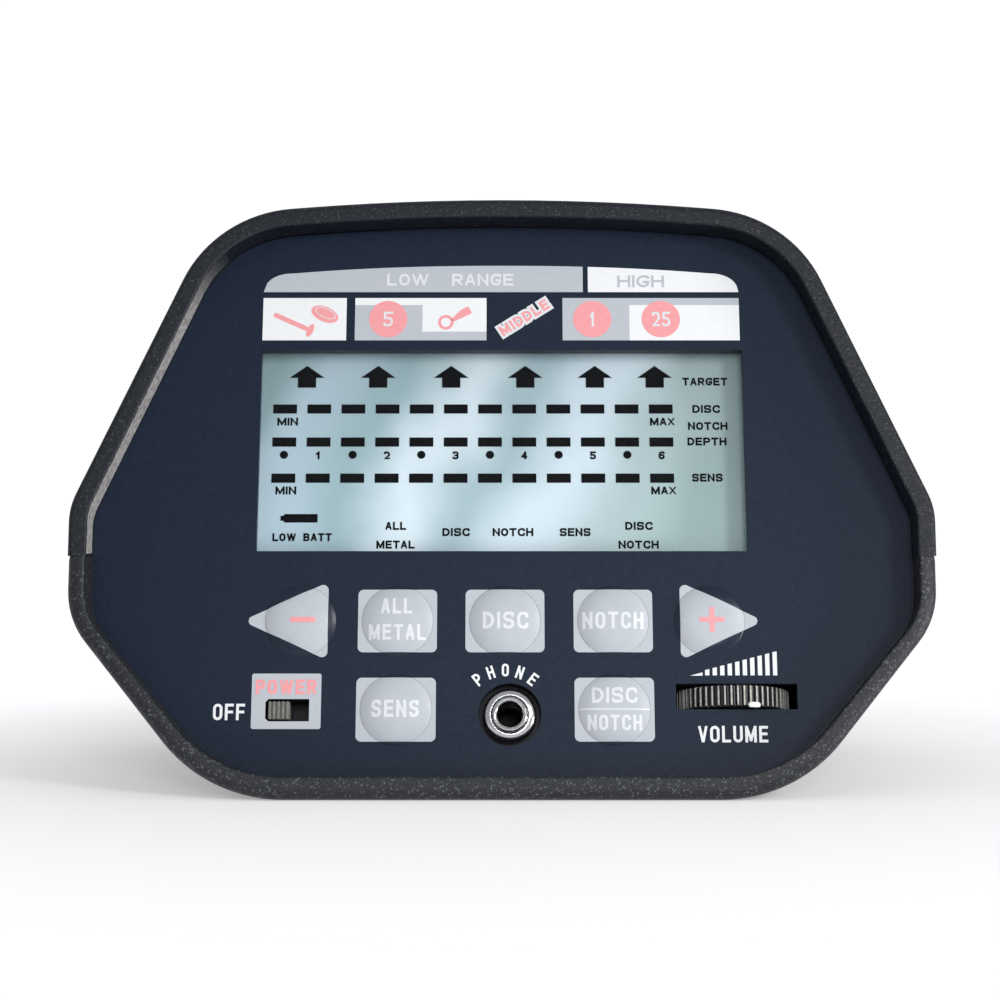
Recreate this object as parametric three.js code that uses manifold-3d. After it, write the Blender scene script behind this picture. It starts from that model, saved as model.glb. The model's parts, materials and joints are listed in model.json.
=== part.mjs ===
// Control head of a hand-held metal detector: a two-part housing around a raked control panel with a display,
// seven keys, a power switch, a phone jack and a volume wheel, and what the housing holds to make them work.
// Millimetres. +X is to the right of someone reading the panel, +Z is up, and the panel looks towards -Y.
import * as THREE from "three";
import { mergeVertices } from "three/addons/utils/BufferGeometryUtils.js";
import Module from "manifold-3d";

const wasm = await Module();
wasm.setup();

// ---- driving dimensions ----

// The housing's outline, in the plane of its front rim. Heights are measured up the panel from its datum.
const RAKE = THREE.MathUtils.degToRad(14); // the panel leans back from upright
const BASE_HEIGHT = -51.75; // outline's straight bottom
const BASE_HALF = 48.1;
const LOWER_HEIGHT = -21.75; // widest stretch, from here ...
const LOWER_HALF = 72.6;
const UPPER_HEIGHT = -2.45; // ... up to here
const UPPER_HALF = 73;
const SHOULDER_HEIGHT = 50.25;
const SHOULDER_HALF = 50.1;
const CROWN_RISE = 4.15; // from the shoulders to where the two halves of the top would meet without their arch
const BASE_FILLET = 26;
const LOWER_FILLET = 14.5;
const UPPER_FILLET = 12;
const SHOULDER_FILLET = 22;
const CROWN_RADIUS = 420;

// The housing's body behind that outline.
const BODY_DEPTH = 84; // from the front of the base to the rear face
const DRAFT = 3; // how far each side closes in towards the rear
const REAR_ROUND = 5;
const WALL = 2.5;
const REAR_WALL = 3.5;
const RECESS = 5; // rim face to panel face
const UPPER_RIM = 3.2;
const LOWER_RIM = 3.0;
const BASE_RIM_EXTRA = 1.1; // the rim is this much wider along the base
const UPPER_EDGE = 0.9; // rounding of the rim's outer edge
const LOWER_EDGE = 2.2;
const SEAM_HEIGHT = 39.6; // parting plane of the two shells, above the base
const SEAM_GAP = 0.3;
const REVEAL_DEPTH = 0.5; // step in the lower shell along the seam
const REVEAL_HEIGHT = 1.2;
const LIP = 2; // ledge behind the panel
const LIP_REACH = 1.8;
const GROOVE_DEPTH = 1.1; // how far the panel's edge sits into the shells
const SEAT = 0.15; // gap between faces that rest on each other
const FIT = 0.3; // gap round a piece in its pocket

// Panel, label film and display.
const PANEL_THICK = 2;
const FILM_THICK = 0.3;
const DISPLAY_WIDTH = 83.6;
const DISPLAY_HEIGHT = 35.9;
const DISPLAY_CENTRE = 9;
const WINDOW_THICK = 1.2;
const WINDOW_SETBACK = 0.9;
const GLASS_THICK = 2.6;
const GLASS_MARGIN = 2.2;
const BEZEL_WALL = 1.4;
const BEZEL_LIP = 0.6;
const STRIP_THICK = 2.2;
const STRIP_HEIGHT = 3.2;
const BOARD_THICK = 1.6;
const MAIN_BOARD = { width: 99, low: -14, high: 38 };
const KEY_BOARD_DEPTH = 9; // panel face to keypad board
const BOARD_MARGIN = 1.5; // from a switch to the edge of the board under it
const POST_RADIUS = 1.6;
const KEY_POST_RADIUS = 1.1;

// Keys: each a round dome on a plunger.
const KEY_RADIUS = 5.9;
const KEY_RUN = 0.15; // running clearance in the film
const KEY_CROWN = 0.85;
const KEY_FLANGE = 1;
const KEY_TRAVEL = 0.5;
const KEY_ROW_GAP = 1.2; // between the flanges of the two rows
const UPPER_ROW = -21;
const LOWER_ROW = UPPER_ROW - 2 * (KEY_RADIUS + KEY_FLANGE) - KEY_ROW_GAP;
const KEYS = [
  { name: "minus", x: -33.9, y: UPPER_ROW },
  { name: "all_metal", x: -17.6, y: UPPER_ROW },
  { name: "disc", x: 0.5, y: UPPER_ROW },
  { name: "notch", x: 18.7, y: UPPER_ROW },
  { name: "plus", x: 34.9, y: UPPER_ROW },
  { name: "sens", x: -17.7, y: LOWER_ROW },
  { name: "disc_notch", x: 18.75, y: LOWER_ROW },
];
const SWITCH_SIZE = 6;
const SWITCH_BODY = 3.1;
const SWITCH_PLUNGER = 0.7;

// Power switch.
const POWER_TRAVEL = 2.9;
const POWER_PLAY = 0.37; // knob to opening, all round
const POWER_KNOB = { width: 3.65, height: 3.0, x: -37.25, grips: 5, proud: 0.1 };
const POWER_CHAMFER = 0.5;
const POWER_BODY = { width: 14, height: 7.6, depth: 6 };

// Phone jack.
const JACK = { x: 1.3, y: -36.85, play: 0.75, bore: 1.95, bushing: 3.05, nut: 4.5, nutThick: 2.8, proud: 0.9 };
const JACK_BODY = { width: 12, height: 11, depth: 12 };
const JACK_BRACKET = { width: 18, height: 11, thick: 1 };

// Volume wheel, on an axis that runs up the panel.
const WHEEL = { x: 39.2, y: -33.8, radius: 9.7, thick: 3.65, centre: 8, ribs: 56, ribDepth: 0.55 };
const SLOT_PLAY = { ends: 0.45, sides: 0.325 };
const POT = { radius: 5.1, thick: 4.4, shaft: 2.9, terminals: 4 };

// Loudspeaker, facing the rear wall.
const SPEAKER = { radius: 20, height: 67, depth: 10, magnet: 10, magnetThick: 6 };
const GRILLE = { slots: 7, pitch: 4.6, width: 2.2, reach: 17 };

// Batteries and their doors in the rear wall.
const BATTERY = { width: 26.5, height: 17.5, length: 46.4, terminal: 2.1, snap: 3.4, apart: 30.9, low: 14.6 };
const WELL_WALL = 1.2;
const BATTERY_STUD = { offset: 6.35, radius: 2.9 };
const SNAP_HEIGHT = 13;
const DOOR = { margin: 2.45, thick: 1.7, ledge: 2.1 };
const HINGE = { out: 1.7, up: 1.5, barrel: 1.3, barrelHalf: 7, ear: 1.9, earThick: 2.2, pin: 0.7, pinFit: 0.25 };

// Coil socket in the rear wall.
const SOCKET = { height: 25.5, radius: 7, bore: 5.5, nut: 9, nutThick: 2.5, reach: 5.5, inside: 9, flange: 8.6 };

// Stem channel under the housing, and the screws.
const STEM = { radius: 11.3, wall: 2.4, length: 46, insert: 2.6, insertBore: 1.3, insertPitch: 24 };
const SCREW = { shank: 1.4, head: 2.8, headThick: 2.2, sunk: 11.6, boss: 4.6, upperBoss: 3.6, top: 56 };
const SCREW_ROWS = [20, 52]; // from the panel datum towards the rear

// ---- derived frame ----

const sinRake = Math.sin(RAKE);
const cosRake = Math.cos(RAKE);
const datumHeight = -BASE_HEIGHT * cosRake - RECESS * sinRake; // puts the base on Z = 0
const frontY = BASE_HEIGHT * sinRake - RECESS * cosRake;
const rearY = frontY + BODY_DEPTH;
const filmBack = -FILM_THICK;
const panelFront = filmBack - SEAT;
const panelBack = panelFront - PANEL_THICK;
const powerWidth = POWER_KNOB.width + POWER_TRAVEL + 2 * POWER_PLAY;
const powerHeight = POWER_KNOB.height + 2 * POWER_PLAY;
const power = { x: POWER_KNOB.x + POWER_TRAVEL / 2, y: JACK.y + 0.75, width: powerWidth, height: powerHeight };
const slotWidth = 2 * (WHEEL.radius + SLOT_PLAY.ends);
const slotHeight = WHEEL.thick + 2 * SLOT_PLAY.sides;
const batteryX = (BATTERY.apart + BATTERY.width) / 2;
const doorWidth = BATTERY.width + 2 * DOOR.margin;
const doorHeight = BATTERY.height + 2 * DOOR.margin;
const screwX = batteryX + BATTERY.width / 2 + FIT + WELL_WALL + SCREW.boss - 0.5;

const face = new THREE.Group(); // X across the panel, Y up it, Z out of it
face.rotation.x = Math.PI / 2 - RAKE;
face.position.z = datumHeight;
face.updateMatrixWorld(true);
const body = new THREE.Group();

// ---- finishes ----

const finish = (color, roughness, metalness = 0) => ({ color, roughness, metalness });
const FINISH = {
  shell: finish(0x24272c, 0.75),
  panel: finish(0x1c222e, 0.5),
  film: finish(0x232b3a, 0.45),
  glass: finish(0xa9c0c4, 0.12),
  clear: finish(0xdfe8ea, 0.05),
  steel: finish(0xb9bcc0, 0.3, 1),
  brass: finish(0xc09a4a, 0.35, 1),
  black: finish(0x121316, 0.45),
  rubber: finish(0x2b2b2e, 0.9),
  board: finish(0x1e5a35, 0.5),
  key: finish(0xc3c6cb, 0.45),
  knob: finish(0xa7a396, 0.5),
  battery: finish(0x50585f, 0.35),
  cone: finish(0x3a3a3c, 0.9),
  lead: finish(0x8f2020, 0.5),
  ribbon: finish(0x9a9ea4, 0.6),
};

// ---- solids ----

// A geometry's triangles as a solid, without the empty ones that a turned profile has on its axis.
function toSolid(geometry) {
  const bare = new THREE.BufferGeometry();
  const source = geometry.index ? geometry.toNonIndexed() : geometry;
  bare.setAttribute("position", source.getAttribute("position").clone());
  const merged = mergeVertices(bare, 1e-4);
  const corners = [...merged.index.array];
  const kept = [];
  for (let i = 0; i < corners.length; i += 3) {
    const [a, b, c] = corners.slice(i, i + 3);
    if (a !== b && b !== c && c !== a) kept.push(a, b, c);
  }
  const mesh = new wasm.Mesh({
    numProp: 3,
    vertProperties: new Float32Array(merged.attributes.position.array),
    triVerts: new Uint32Array(kept),
  });
  return new wasm.Manifold(mesh);
}

function toGeometry(solid) {
  const mesh = solid.getMesh();
  const geometry = new THREE.BufferGeometry();
  geometry.setAttribute("position", new THREE.BufferAttribute(new Float32Array(mesh.vertProperties), 3));
  geometry.setIndex(new THREE.BufferAttribute(new Uint32Array(mesh.triVerts), 1));
  geometry.computeVertexNormals();
  return geometry;
}

function join(solids) {
  return solids.reduce((sum, solid) => sum.add(solid));
}

function cut(solid, tools) {
  return tools.reduce((rest, tool) => rest.subtract(tool), solid);
}

// Names a solid or a geometry as one node of the group.
function place(group, name, shape, look) {
  const geometry = shape.isBufferGeometry ? shape : toGeometry(shape);
  const mesh = new THREE.Mesh(geometry, new THREE.MeshStandardMaterial(look));
  mesh.name = name;
  group.add(mesh);
}

// A solid drawn in the panel's frame, moved into the housing's.
const fromFace = (solid) => solid.transform(face.matrixWorld.elements);

function block(xRange, yRange, zRange) {
  const [x0, x1] = xRange;
  const [y0, y1] = yRange;
  const [z0, z1] = zRange;
  const geometry = new THREE.BoxGeometry(x1 - x0, y1 - y0, z1 - z0);
  geometry.translate((x0 + x1) / 2, (y0 + y1) / 2, (z0 + z1) / 2);
  return toSolid(geometry);
}

const around = (centre, size) => [centre - size / 2, centre + size / 2];

// A cylinder between two points on a line along "x", "y" or "z".
function rod(axis, centre, from, to, radius, segments = 16) {
  const geometry = new THREE.CylinderGeometry(radius, radius, to - from, segments);
  if (axis === "x") geometry.rotateZ(-Math.PI / 2);
  if (axis === "z") geometry.rotateX(Math.PI / 2);
  const middle = (from + to) / 2;
  const [a, b] = centre;
  if (axis === "x") geometry.translate(middle, a, b);
  if (axis === "y") geometry.translate(a, middle, b);
  if (axis === "z") geometry.translate(a, b, middle);
  return toSolid(geometry);
}

// A flat shape from one level to another along Z.
function plate(shape, back, front, curveSegments = 6) {
  const settings = { depth: front - back, bevelEnabled: false, curveSegments };
  const geometry = new THREE.ExtrudeGeometry(shape, settings);
  geometry.translate(0, 0, back);
  return toSolid(geometry);
}

function rectangle(width, height, radius, x = 0, y = 0) {
  if (radius === 0) return plainRectangle(width, height, x, y);
  const shape = new THREE.Shape();
  const right = x + width / 2 - radius;
  const top = y + height / 2 - radius;
  const left = x - width / 2 + radius;
  const bottom = y - height / 2 + radius;
  shape.absarc(right, top, radius, 0, Math.PI / 2);
  shape.absarc(left, top, radius, Math.PI / 2, Math.PI);
  shape.absarc(left, bottom, radius, Math.PI, 1.5 * Math.PI);
  shape.absarc(right, bottom, radius, 1.5 * Math.PI, 2 * Math.PI);
  return shape;
}

function plainRectangle(width, height, x, y) {
  const [left, right] = around(x, width);
  const [bottom, top] = around(y, height);
  return new THREE.Shape([
    new THREE.Vector2(left, bottom),
    new THREE.Vector2(right, bottom),
    new THREE.Vector2(right, top),
    new THREE.Vector2(left, top),
  ]);
}

// A profile of [radius, level] pairs turned about Z. It runs up from the axis and back to it, or closes.
function turned(profile, segments) {
  const points = profile.map(([radius, level]) => new THREE.Vector2(radius, level));
  const geometry = new THREE.LatheGeometry(points, segments);
  geometry.rotateX(Math.PI / 2);
  return toSolid(geometry);
}

// ---- the housing's outline and body ----

// The outline's corners, from the bottom right round to the bottom left. floor lifts the bottom edge.
function outlineCorners(floor) {
  const right = [
    { x: BASE_HALF, y: BASE_HEIGHT + floor, radius: BASE_FILLET, steps: 5 },
    { x: LOWER_HALF, y: LOWER_HEIGHT, radius: LOWER_FILLET, steps: 3 },
    { x: UPPER_HALF, y: UPPER_HEIGHT, radius: UPPER_FILLET, steps: 2 },
    { x: SHOULDER_HALF, y: SHOULDER_HEIGHT, radius: SHOULDER_FILLET, steps: 4 },
  ];
  const crown = { x: 0, y: SHOULDER_HEIGHT + CROWN_RISE, radius: CROWN_RADIUS, steps: 4 };
  const left = right.map((corner) => ({ ...corner, x: -corner.x })).reverse();
  return [...right, crown, ...left];
}

// Points round the outline, counter-clockwise, with an arc at each corner, drawn inset inside its full size.
function outline(inset, floor = 0) {
  const corners = outlineCorners(floor);
  const count = corners.length;
  return corners.flatMap((corner, i) => {
    const before = corners[(i + count - 1) % count];
    const after = corners[(i + 1) % count];
    const entering = Math.atan2(corner.y - before.y, corner.x - before.x);
    const leaving = Math.atan2(after.y - corner.y, after.x - corner.x);
    const turn = THREE.MathUtils.euclideanModulo(leaving - entering, 2 * Math.PI);
    const tangent = corner.radius * Math.tan(turn / 2);
    const centreX = corner.x - tangent * Math.cos(entering) - corner.radius * Math.sin(entering);
    const centreY = corner.y - tangent * Math.sin(entering) + corner.radius * Math.cos(entering);
    return Array.from({ length: corner.steps + 1 }, (_, k) => {
      const angle = entering - Math.PI / 2 + (turn * k) / corner.steps;
      const reach = corner.radius - inset;
      return new THREE.Vector2(centreX + reach * Math.cos(angle), centreY + reach * Math.sin(angle));
    });
  });
}

// One ring of the body: the outline closed in by inset, then by a taper that leaves the base level.
// depthAt says how far back each of its points lies, from where that point is on the rim's plane.
function bodyRing(inset, taper, depthAt) {
  return outline(inset + taper).map((point) => {
    const rimY = point.y * sinRake - RECESS * cosRake;
    const height = datumHeight + point.y * cosRake + RECESS * sinRake - taper * cosRake;
    return new THREE.Vector3(point.x, depthAt(rimY), height);
  });
}

// A closed skin over rings that run from front to rear, with a fan over the first and the last.
function loft(rings) {
  const count = rings[0].length;
  const triangles = [];
  const middle = (ring) => ring.reduce((sum, p) => sum.add(p), new THREE.Vector3()).divideScalar(count);
  const first = rings[0];
  const last = rings[rings.length - 1];
  for (let i = 0; i < count; i += 1) {
    const next = (i + 1) % count;
    triangles.push(middle(first), first[i], first[next]);
    triangles.push(middle(last), last[next], last[i]);
    for (let k = 0; k + 1 < rings.length; k += 1) {
      const here = rings[k];
      const behind = rings[k + 1];
      triangles.push(here[i], behind[i], here[next]);
      triangles.push(here[next], behind[i], behind[next]);
    }
  }
  return toSolid(new THREE.BufferGeometry().setFromPoints(triangles));
}

const EDGE_STEPS = 2;
const ROUND_STEPS = 2;

// The body inside the outline, from its raked front to a flat rear, with both edges rounded.
function bodyLoft({ inset, edge, setback, rear, round }) {
  const rings = [];
  const frontSteps = edge > 0 ? EDGE_STEPS : 0;
  for (let k = 0; k <= frontSteps; k += 1) {
    const angle = frontSteps ? ((k / frontSteps) * Math.PI) / 2 : Math.PI / 2;
    const closed = edge * (1 - Math.sin(angle));
    const back = setback + edge * (1 - Math.cos(angle));
    rings.push(bodyRing(inset + closed, 0, (y) => y + back));
  }
  for (let k = 0; k <= ROUND_STEPS; k += 1) {
    const angle = ((k / ROUND_STEPS) * Math.PI) / 2;
    const closed = round * (1 - Math.cos(angle));
    rings.push(bodyRing(inset + closed, DRAFT, () => rear - round + round * Math.sin(angle)));
  }
  return loft(rings);
}

const outerBody = (edge) => bodyLoft({ inset: 0, edge, setback: 0, rear: rearY, round: REAR_ROUND });

function shellCavity() {
  const setback = (RECESS - panelBack + SEAT + LIP) / cosRake;
  const rear = rearY - REAR_WALL;
  return bodyLoft({ inset: WALL, edge: 0, setback, rear, round: REAR_ROUND - WALL });
}

const PAST = 12; // how far a cutting tool runs past the face that it opens

// What is cut from the front of a shell whose rim is this wide: recess, panel groove and ledge window.
function frontCuts(rim, floor) {
  const grooveInset = LOWER_RIM - GROOVE_DEPTH;
  const ledgeBack = panelBack - SEAT - LIP - SEAT;
  const prism = (inset, back, front) => {
    const shape = new THREE.Shape(outline(inset, floor));
    return fromFace(plate(shape, back, front));
  };
  const recess = prism(rim, filmBack, RECESS + PAST);
  const groove = prism(grooveInset, panelBack - SEAT, SEAT);
  const ledge = prism(rim + LIP_REACH, ledgeBack, panelBack);
  return [recess, groove, ledge];
}

const upperHalf = () => block([-100, 100], [-100, 200], [SEAM_HEIGHT + SEAM_GAP / 2, 200]);
const lowerHalf = () => block([-100, 100], [-100, 200], [-100, SEAM_HEIGHT - SEAM_GAP / 2]);

// The four housing screws stand at these places.
const screwPlaces = [-1, 1].flatMap((side) => SCREW_ROWS.map((y) => ({ x: side * screwX, y })));

function grilleCuts() {
  const middle = (GRILLE.slots - 1) / 2;
  return Array.from({ length: GRILLE.slots }, (_, i) => {
    const x = (i - middle) * GRILLE.pitch;
    const half = Math.sqrt(GRILLE.reach ** 2 - x ** 2);
    const shape = rectangle(GRILLE.width, 2 * half, GRILLE.width / 2 - 0.01, x, 0);
    const slot = new THREE.ExtrudeGeometry(shape, { depth: PAST, bevelEnabled: false, curveSegments: 3 });
    slot.rotateX(Math.PI / 2);
    slot.translate(0, rearY + PAST / 2, SPEAKER.height);
    return toSolid(slot);
  });
}

function upperShell() {
  const outer = outerBody(UPPER_EDGE);
  const skin = cut(outer, [shellCavity(), ...frontCuts(UPPER_RIM, BASE_RIM_EXTRA)]);
  const seam = SEAM_HEIGHT + SEAM_GAP / 2;
  const bosses = screwPlaces.map(({ x, y }) => {
    const side = Math.sign(x);
    const ribEnds = [x, side * (UPPER_HALF + 1)].sort((a, b) => a - b);
    const column = rod("z", [x, y], seam, SCREW.top + 4, SCREW.upperBoss);
    const rib = block(ribEnds, around(y, 2), [seam, SCREW.top + 4]);
    return join([column, rib]).intersect(outer);
  });
  const pilots = screwPlaces.map(({ x, y }) => {
    return rod("z", [x, y], seam - PAST, SCREW.top + 1, SCREW.shank + FIT, 12);
  });
  const closed = join([skin.intersect(upperHalf()), ...bosses]);
  return cut(closed, [...pilots, ...grilleCuts()]);
}

// A battery's well, its door's pocket and its hinge ears, on one side of the lower shell.
const batteryHigh = BATTERY.low + BATTERY.height;
const batteryRear = rearY - REAR_WALL;
const batteryFront = batteryRear - FIT - BATTERY.length;
const snapBack = batteryFront - BATTERY.terminal - FIT;
const doorMiddle = BATTERY.low + BATTERY.height / 2;
const doorTop = doorMiddle + doorHeight / 2;
const hingeY = rearY + HINGE.out;
const hingeZ = doorTop + HINGE.up;
function batteryWell(x) {
  const inner = { width: BATTERY.width + 2 * FIT, height: BATTERY.height + 2 * FIT };
  const front = batteryFront + 2;
  const wide = inner.width + 2 * WELL_WALL;
  const high = inner.height + 2 * WELL_WALL;
  return {
    walls: block(around(x, wide), [front, rearY - 1], around(doorMiddle, high)),
    hollow: block(around(x, inner.width), [front - 1, rearY + PAST], around(doorMiddle, inner.height)),
  };
}

function doorPocket(x) {
  const width = around(x, doorWidth + 2 * FIT);
  const height = around(doorMiddle, doorHeight + 2 * FIT);
  return block(width, [rearY - DOOR.ledge, rearY + PAST], height);
}

function hingeEars(x) {
  return [-1, 1].map((side) => {
    const inner = x + side * (HINGE.barrelHalf + FIT);
    const ends = [inner, inner + side * HINGE.earThick].sort((a, b) => a - b);
    const eye = rod("x", [hingeY, hingeZ], ends[0], ends[1], HINGE.ear, 16);
    const foot = block(ends, [rearY - 1, hingeY], [doorTop + 2 * FIT, hingeZ + HINGE.ear]);
    const hole = rod("x", [hingeY, hingeZ], ends[0] - 1, ends[1] + 1, HINGE.pin + HINGE.pinFit, 12);
    return cut(join([eye, foot]), [hole]);
  });
}

// Half-round channel that takes the end of the stem, open at the rear.
function stemChannel() {
  const front = rearY - STEM.length;
  const cradle = rod("y", [0, 0], front - STEM.wall, rearY - 1, STEM.radius + STEM.wall, 28);
  const upper = block([-20, 20], [front - 10, rearY + 10], [0.5, 20]);
  const bore = rod("y", [0, 0], front, rearY + PAST, STEM.radius, 28);
  const seats = insertPlaces.map((y) => {
    const top = STEM.radius + STEM.wall + 2.5;
    return rod("z", [0, y], STEM.radius - 2, top, STEM.insert + 1.8);
  });
  return { walls: [cradle.intersect(upper), ...seats], bore };
}

const insertPlaces = [-1, 1].map((side) => rearY - STEM.length / 2 + (side * STEM.insertPitch) / 2);

function lowerShell() {
  const outer = outerBody(LOWER_EDGE);
  const skin = cut(outer, [shellCavity(), ...frontCuts(LOWER_RIM, BASE_RIM_EXTRA)]);
  const seam = SEAM_HEIGHT - SEAM_GAP / 2;
  const wells = [-1, 1].map((side) => batteryWell(side * batteryX));
  const channel = stemChannel();
  const bosses = screwPlaces.map(({ x, y }) => rod("z", [x, y], 0, seam, SCREW.boss));
  const inside = [...wells.map((well) => well.walls), ...channel.walls, ...bosses];
  const fitted = join(inside.map((solid) => solid.intersect(outer)));
  const ears = [-1, 1].flatMap((side) => hingeEars(side * batteryX));
  const screwHoles = screwPlaces.flatMap(({ x, y }) => [
    rod("z", [x, y], -PAST, SCREW.sunk + SEAT, SCREW.head + FIT, 16),
    rod("z", [x, y], -PAST, seam + PAST, SCREW.shank + FIT, 12),
  ]);
  const insertHoles = insertPlaces.map((y) => rod("z", [0, y], 0, 30, STEM.insert + SEAT, 14));
  const socketHole = rod("y", [0, SOCKET.height], rearY - PAST, rearY + PAST, SOCKET.radius + FIT, 24);
  const reveal = revealCut(outer);
  const cuts = [
    channel.bore,
    socketHole,
    reveal,
    ...wells.map((well) => well.hollow),
    ...[-1, 1].map((side) => doorPocket(side * batteryX)),
    ...screwHoles,
    ...insertHoles,
  ];
  return join([cut(join([skin.intersect(lowerHalf()), fitted]), cuts), ...ears]);
}

// The step along the lower shell's sides just under the seam, which runs out at the rear corners.
function revealCut(outer) {
  const rear = rearY + PAST;
  const kept = bodyLoft({ inset: REVEAL_DEPTH, edge: 0, setback: -PAST, rear, round: REAR_ROUND });
  const band = block([-100, 100], [-100, 200], [SEAM_HEIGHT - REVEAL_HEIGHT, SEAM_HEIGHT]);
  return cut(outer.intersect(band), [kept]);
}

// ---- panel, film and display ----

const displayHole = (grow) => {
  return rectangle(DISPLAY_WIDTH + 2 * grow, DISPLAY_HEIGHT + 2 * grow, 0, 0, DISPLAY_CENTRE);
};

function circle(radius, x, y) {
  return new THREE.Shape().absarc(x, y, radius, 0, 2 * Math.PI);
}

// The power switch's opening, with its two left corners cut off.
function powerOpening(grow) {
  const halfWidth = power.width / 2 + grow;
  const halfHeight = power.height / 2 + grow;
  const { x, y } = power;
  const chamfer = POWER_CHAMFER;
  return new THREE.Shape([
    new THREE.Vector2(x + halfWidth, y - halfHeight),
    new THREE.Vector2(x + halfWidth, y + halfHeight),
    new THREE.Vector2(x - halfWidth + chamfer, y + halfHeight),
    new THREE.Vector2(x - halfWidth, y + halfHeight - chamfer),
    new THREE.Vector2(x - halfWidth, y - halfHeight + chamfer),
    new THREE.Vector2(x - halfWidth + chamfer, y - halfHeight),
  ]);
}

// The panel's sheet with everything that looks or reaches through it, each opening larger by grow.
function panelSheet(inset, grow, back, front) {
  const sheet = new THREE.Shape(outline(inset, BASE_RIM_EXTRA));
  sheet.holes = [
    displayHole(grow),
    powerOpening(grow),
    circle(JACK.nut + JACK.play + grow, JACK.x, JACK.y),
    rectangle(slotWidth + 2 * grow, slotHeight + 2 * grow, 0, WHEEL.x, WHEEL.y),
    ...KEYS.map((key) => circle(KEY_RADIUS + KEY_RUN + grow, key.x, key.y)),
  ];
  return plate(sheet, back, front, 8);
}

const keyBoardFront = -KEY_BOARD_DEPTH;
const mainBoardFront = keyBoardFront - BOARD_THICK - FIT;
const mainBoardHeight = MAIN_BOARD.high - MAIN_BOARD.low;
const mainBoardMiddle = (MAIN_BOARD.high + MAIN_BOARD.low) / 2;

const upperKeys = KEYS.filter((key) => key.y === UPPER_ROW);
const lowerKeys = KEYS.filter((key) => key.y === LOWER_ROW);
const postReach = KEY_RADIUS + KEY_FLANGE + FIT + KEY_POST_RADIUS; // from a key's middle to a post's

// The keypad board stands on a post outside each end of the upper row of keys.
const keyPostEnds = [upperKeys[0].x - postReach, upperKeys[upperKeys.length - 1].x + postReach];

function frontPanel() {
  const sheet = panelSheet(LOWER_RIM - GROOVE_DEPTH + FIT, SEAT, panelBack, panelFront);
  const edge = POST_RADIUS + FIT;
  const postX = MAIN_BOARD.width / 2 - edge;
  const mainPosts = [-postX, postX].flatMap((x) => {
    const levels = [MAIN_BOARD.high - edge, MAIN_BOARD.low + edge];
    return levels.map((y) => rod("z", [x, y], mainBoardFront + FIT, panelFront - 1, POST_RADIUS, 10));
  });
  const keyPosts = keyPostEnds.map((x) => {
    return rod("z", [x, UPPER_ROW], keyBoardFront + FIT, panelFront - 1, KEY_POST_RADIUS, 8);
  });
  return join([sheet, ...mainPosts, ...keyPosts]);
}

function displayParts() {
  const windowFront = -WINDOW_SETBACK;
  const windowPane = rectangle(DISPLAY_WIDTH, DISPLAY_HEIGHT, 0, 0, DISPLAY_CENTRE);
  const glassFront = panelBack - FIT - BEZEL_LIP - FIT;
  const glassBack = glassFront - GLASS_THICK;
  const glassWidth = DISPLAY_WIDTH + 2 * GLASS_MARGIN;
  const glassHeight = DISPLAY_HEIGHT + 2 * GLASS_MARGIN;
  const glass = rectangle(glassWidth, glassHeight, 0, 0, DISPLAY_CENTRE);
  const outerWidth = glassWidth + 2 * (FIT + BEZEL_WALL);
  const outerHeight = glassHeight + 2 * (FIT + BEZEL_WALL);
  const bezelBack = mainBoardFront + FIT;
  const bezel = plate(rectangle(outerWidth, outerHeight, 0, 0, DISPLAY_CENTRE), bezelBack, panelBack - FIT);
  const pocket = rectangle(glassWidth + 2 * FIT, glassHeight + 2 * FIT, 0, 0, DISPLAY_CENTRE);
  const bezelCuts = [
    plate(pocket, bezelBack - 1, glassFront + FIT),
    plate(displayHole(FIT), bezelBack - 1, panelBack + 1),
  ];
  place(face, "display_window", plate(windowPane, windowFront - WINDOW_THICK, windowFront), FINISH.clear);
  place(face, "lcd_glass", plate(glass, glassBack, glassFront), FINISH.glass);
  place(face, "lcd_bezel", cut(bezel, bezelCuts), FINISH.steel);
  const stripY = glassHeight / 2 - STRIP_THICK;
  [["upper", 1], ["lower", -1]].forEach(([where, side]) => {
    const across = around(0, glassWidth - 6);
    const along = around(DISPLAY_CENTRE + side * stripY, STRIP_THICK);
    const strip = block(across, along, [mainBoardFront + FIT, glassBack - FIT]);
    place(face, `lcd_connector_${where}`, strip, FINISH.rubber);
  });
}

function boards() {
  const main = rectangle(MAIN_BOARD.width, mainBoardHeight, 0, 0, mainBoardMiddle);
  place(face, "main_board", plate(main, mainBoardFront - BOARD_THICK, mainBoardFront), FINISH.board);
  place(face, "keypad_board", keypadBoard(), FINISH.board);
  const rear = mainBoardFront - BOARD_THICK - FIT;
  place(face, "main_chip", block(around(-20, 14), around(14, 14), [rear - 2.4, rear]), FINISH.black);
  place(face, "capacitor", rod("z", [30, 22], rear - 11, rear, 4, 16), FINISH.steel);
  place(face, "ribbon_cable", ribbonCable(rear), FINISH.ribbon);
}

// A bar behind the upper row of keys, with a tab down behind each lower key.
function keypadBoard() {
  const levels = [keyBoardFront - BOARD_THICK, keyBoardFront];
  const [left, right] = keyPostEnds;
  const edge = KEY_POST_RADIUS + FIT;
  const half = SWITCH_SIZE / 2 + BOARD_MARGIN;
  const bar = block([left - edge, right + edge], around(UPPER_ROW, 2 * half), levels);
  const tabs = lowerKeys.map((key) => block(around(key.x, 2 * half), [LOWER_ROW - half, UPPER_ROW], levels));
  return join([bar, ...tabs]);
}

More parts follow.
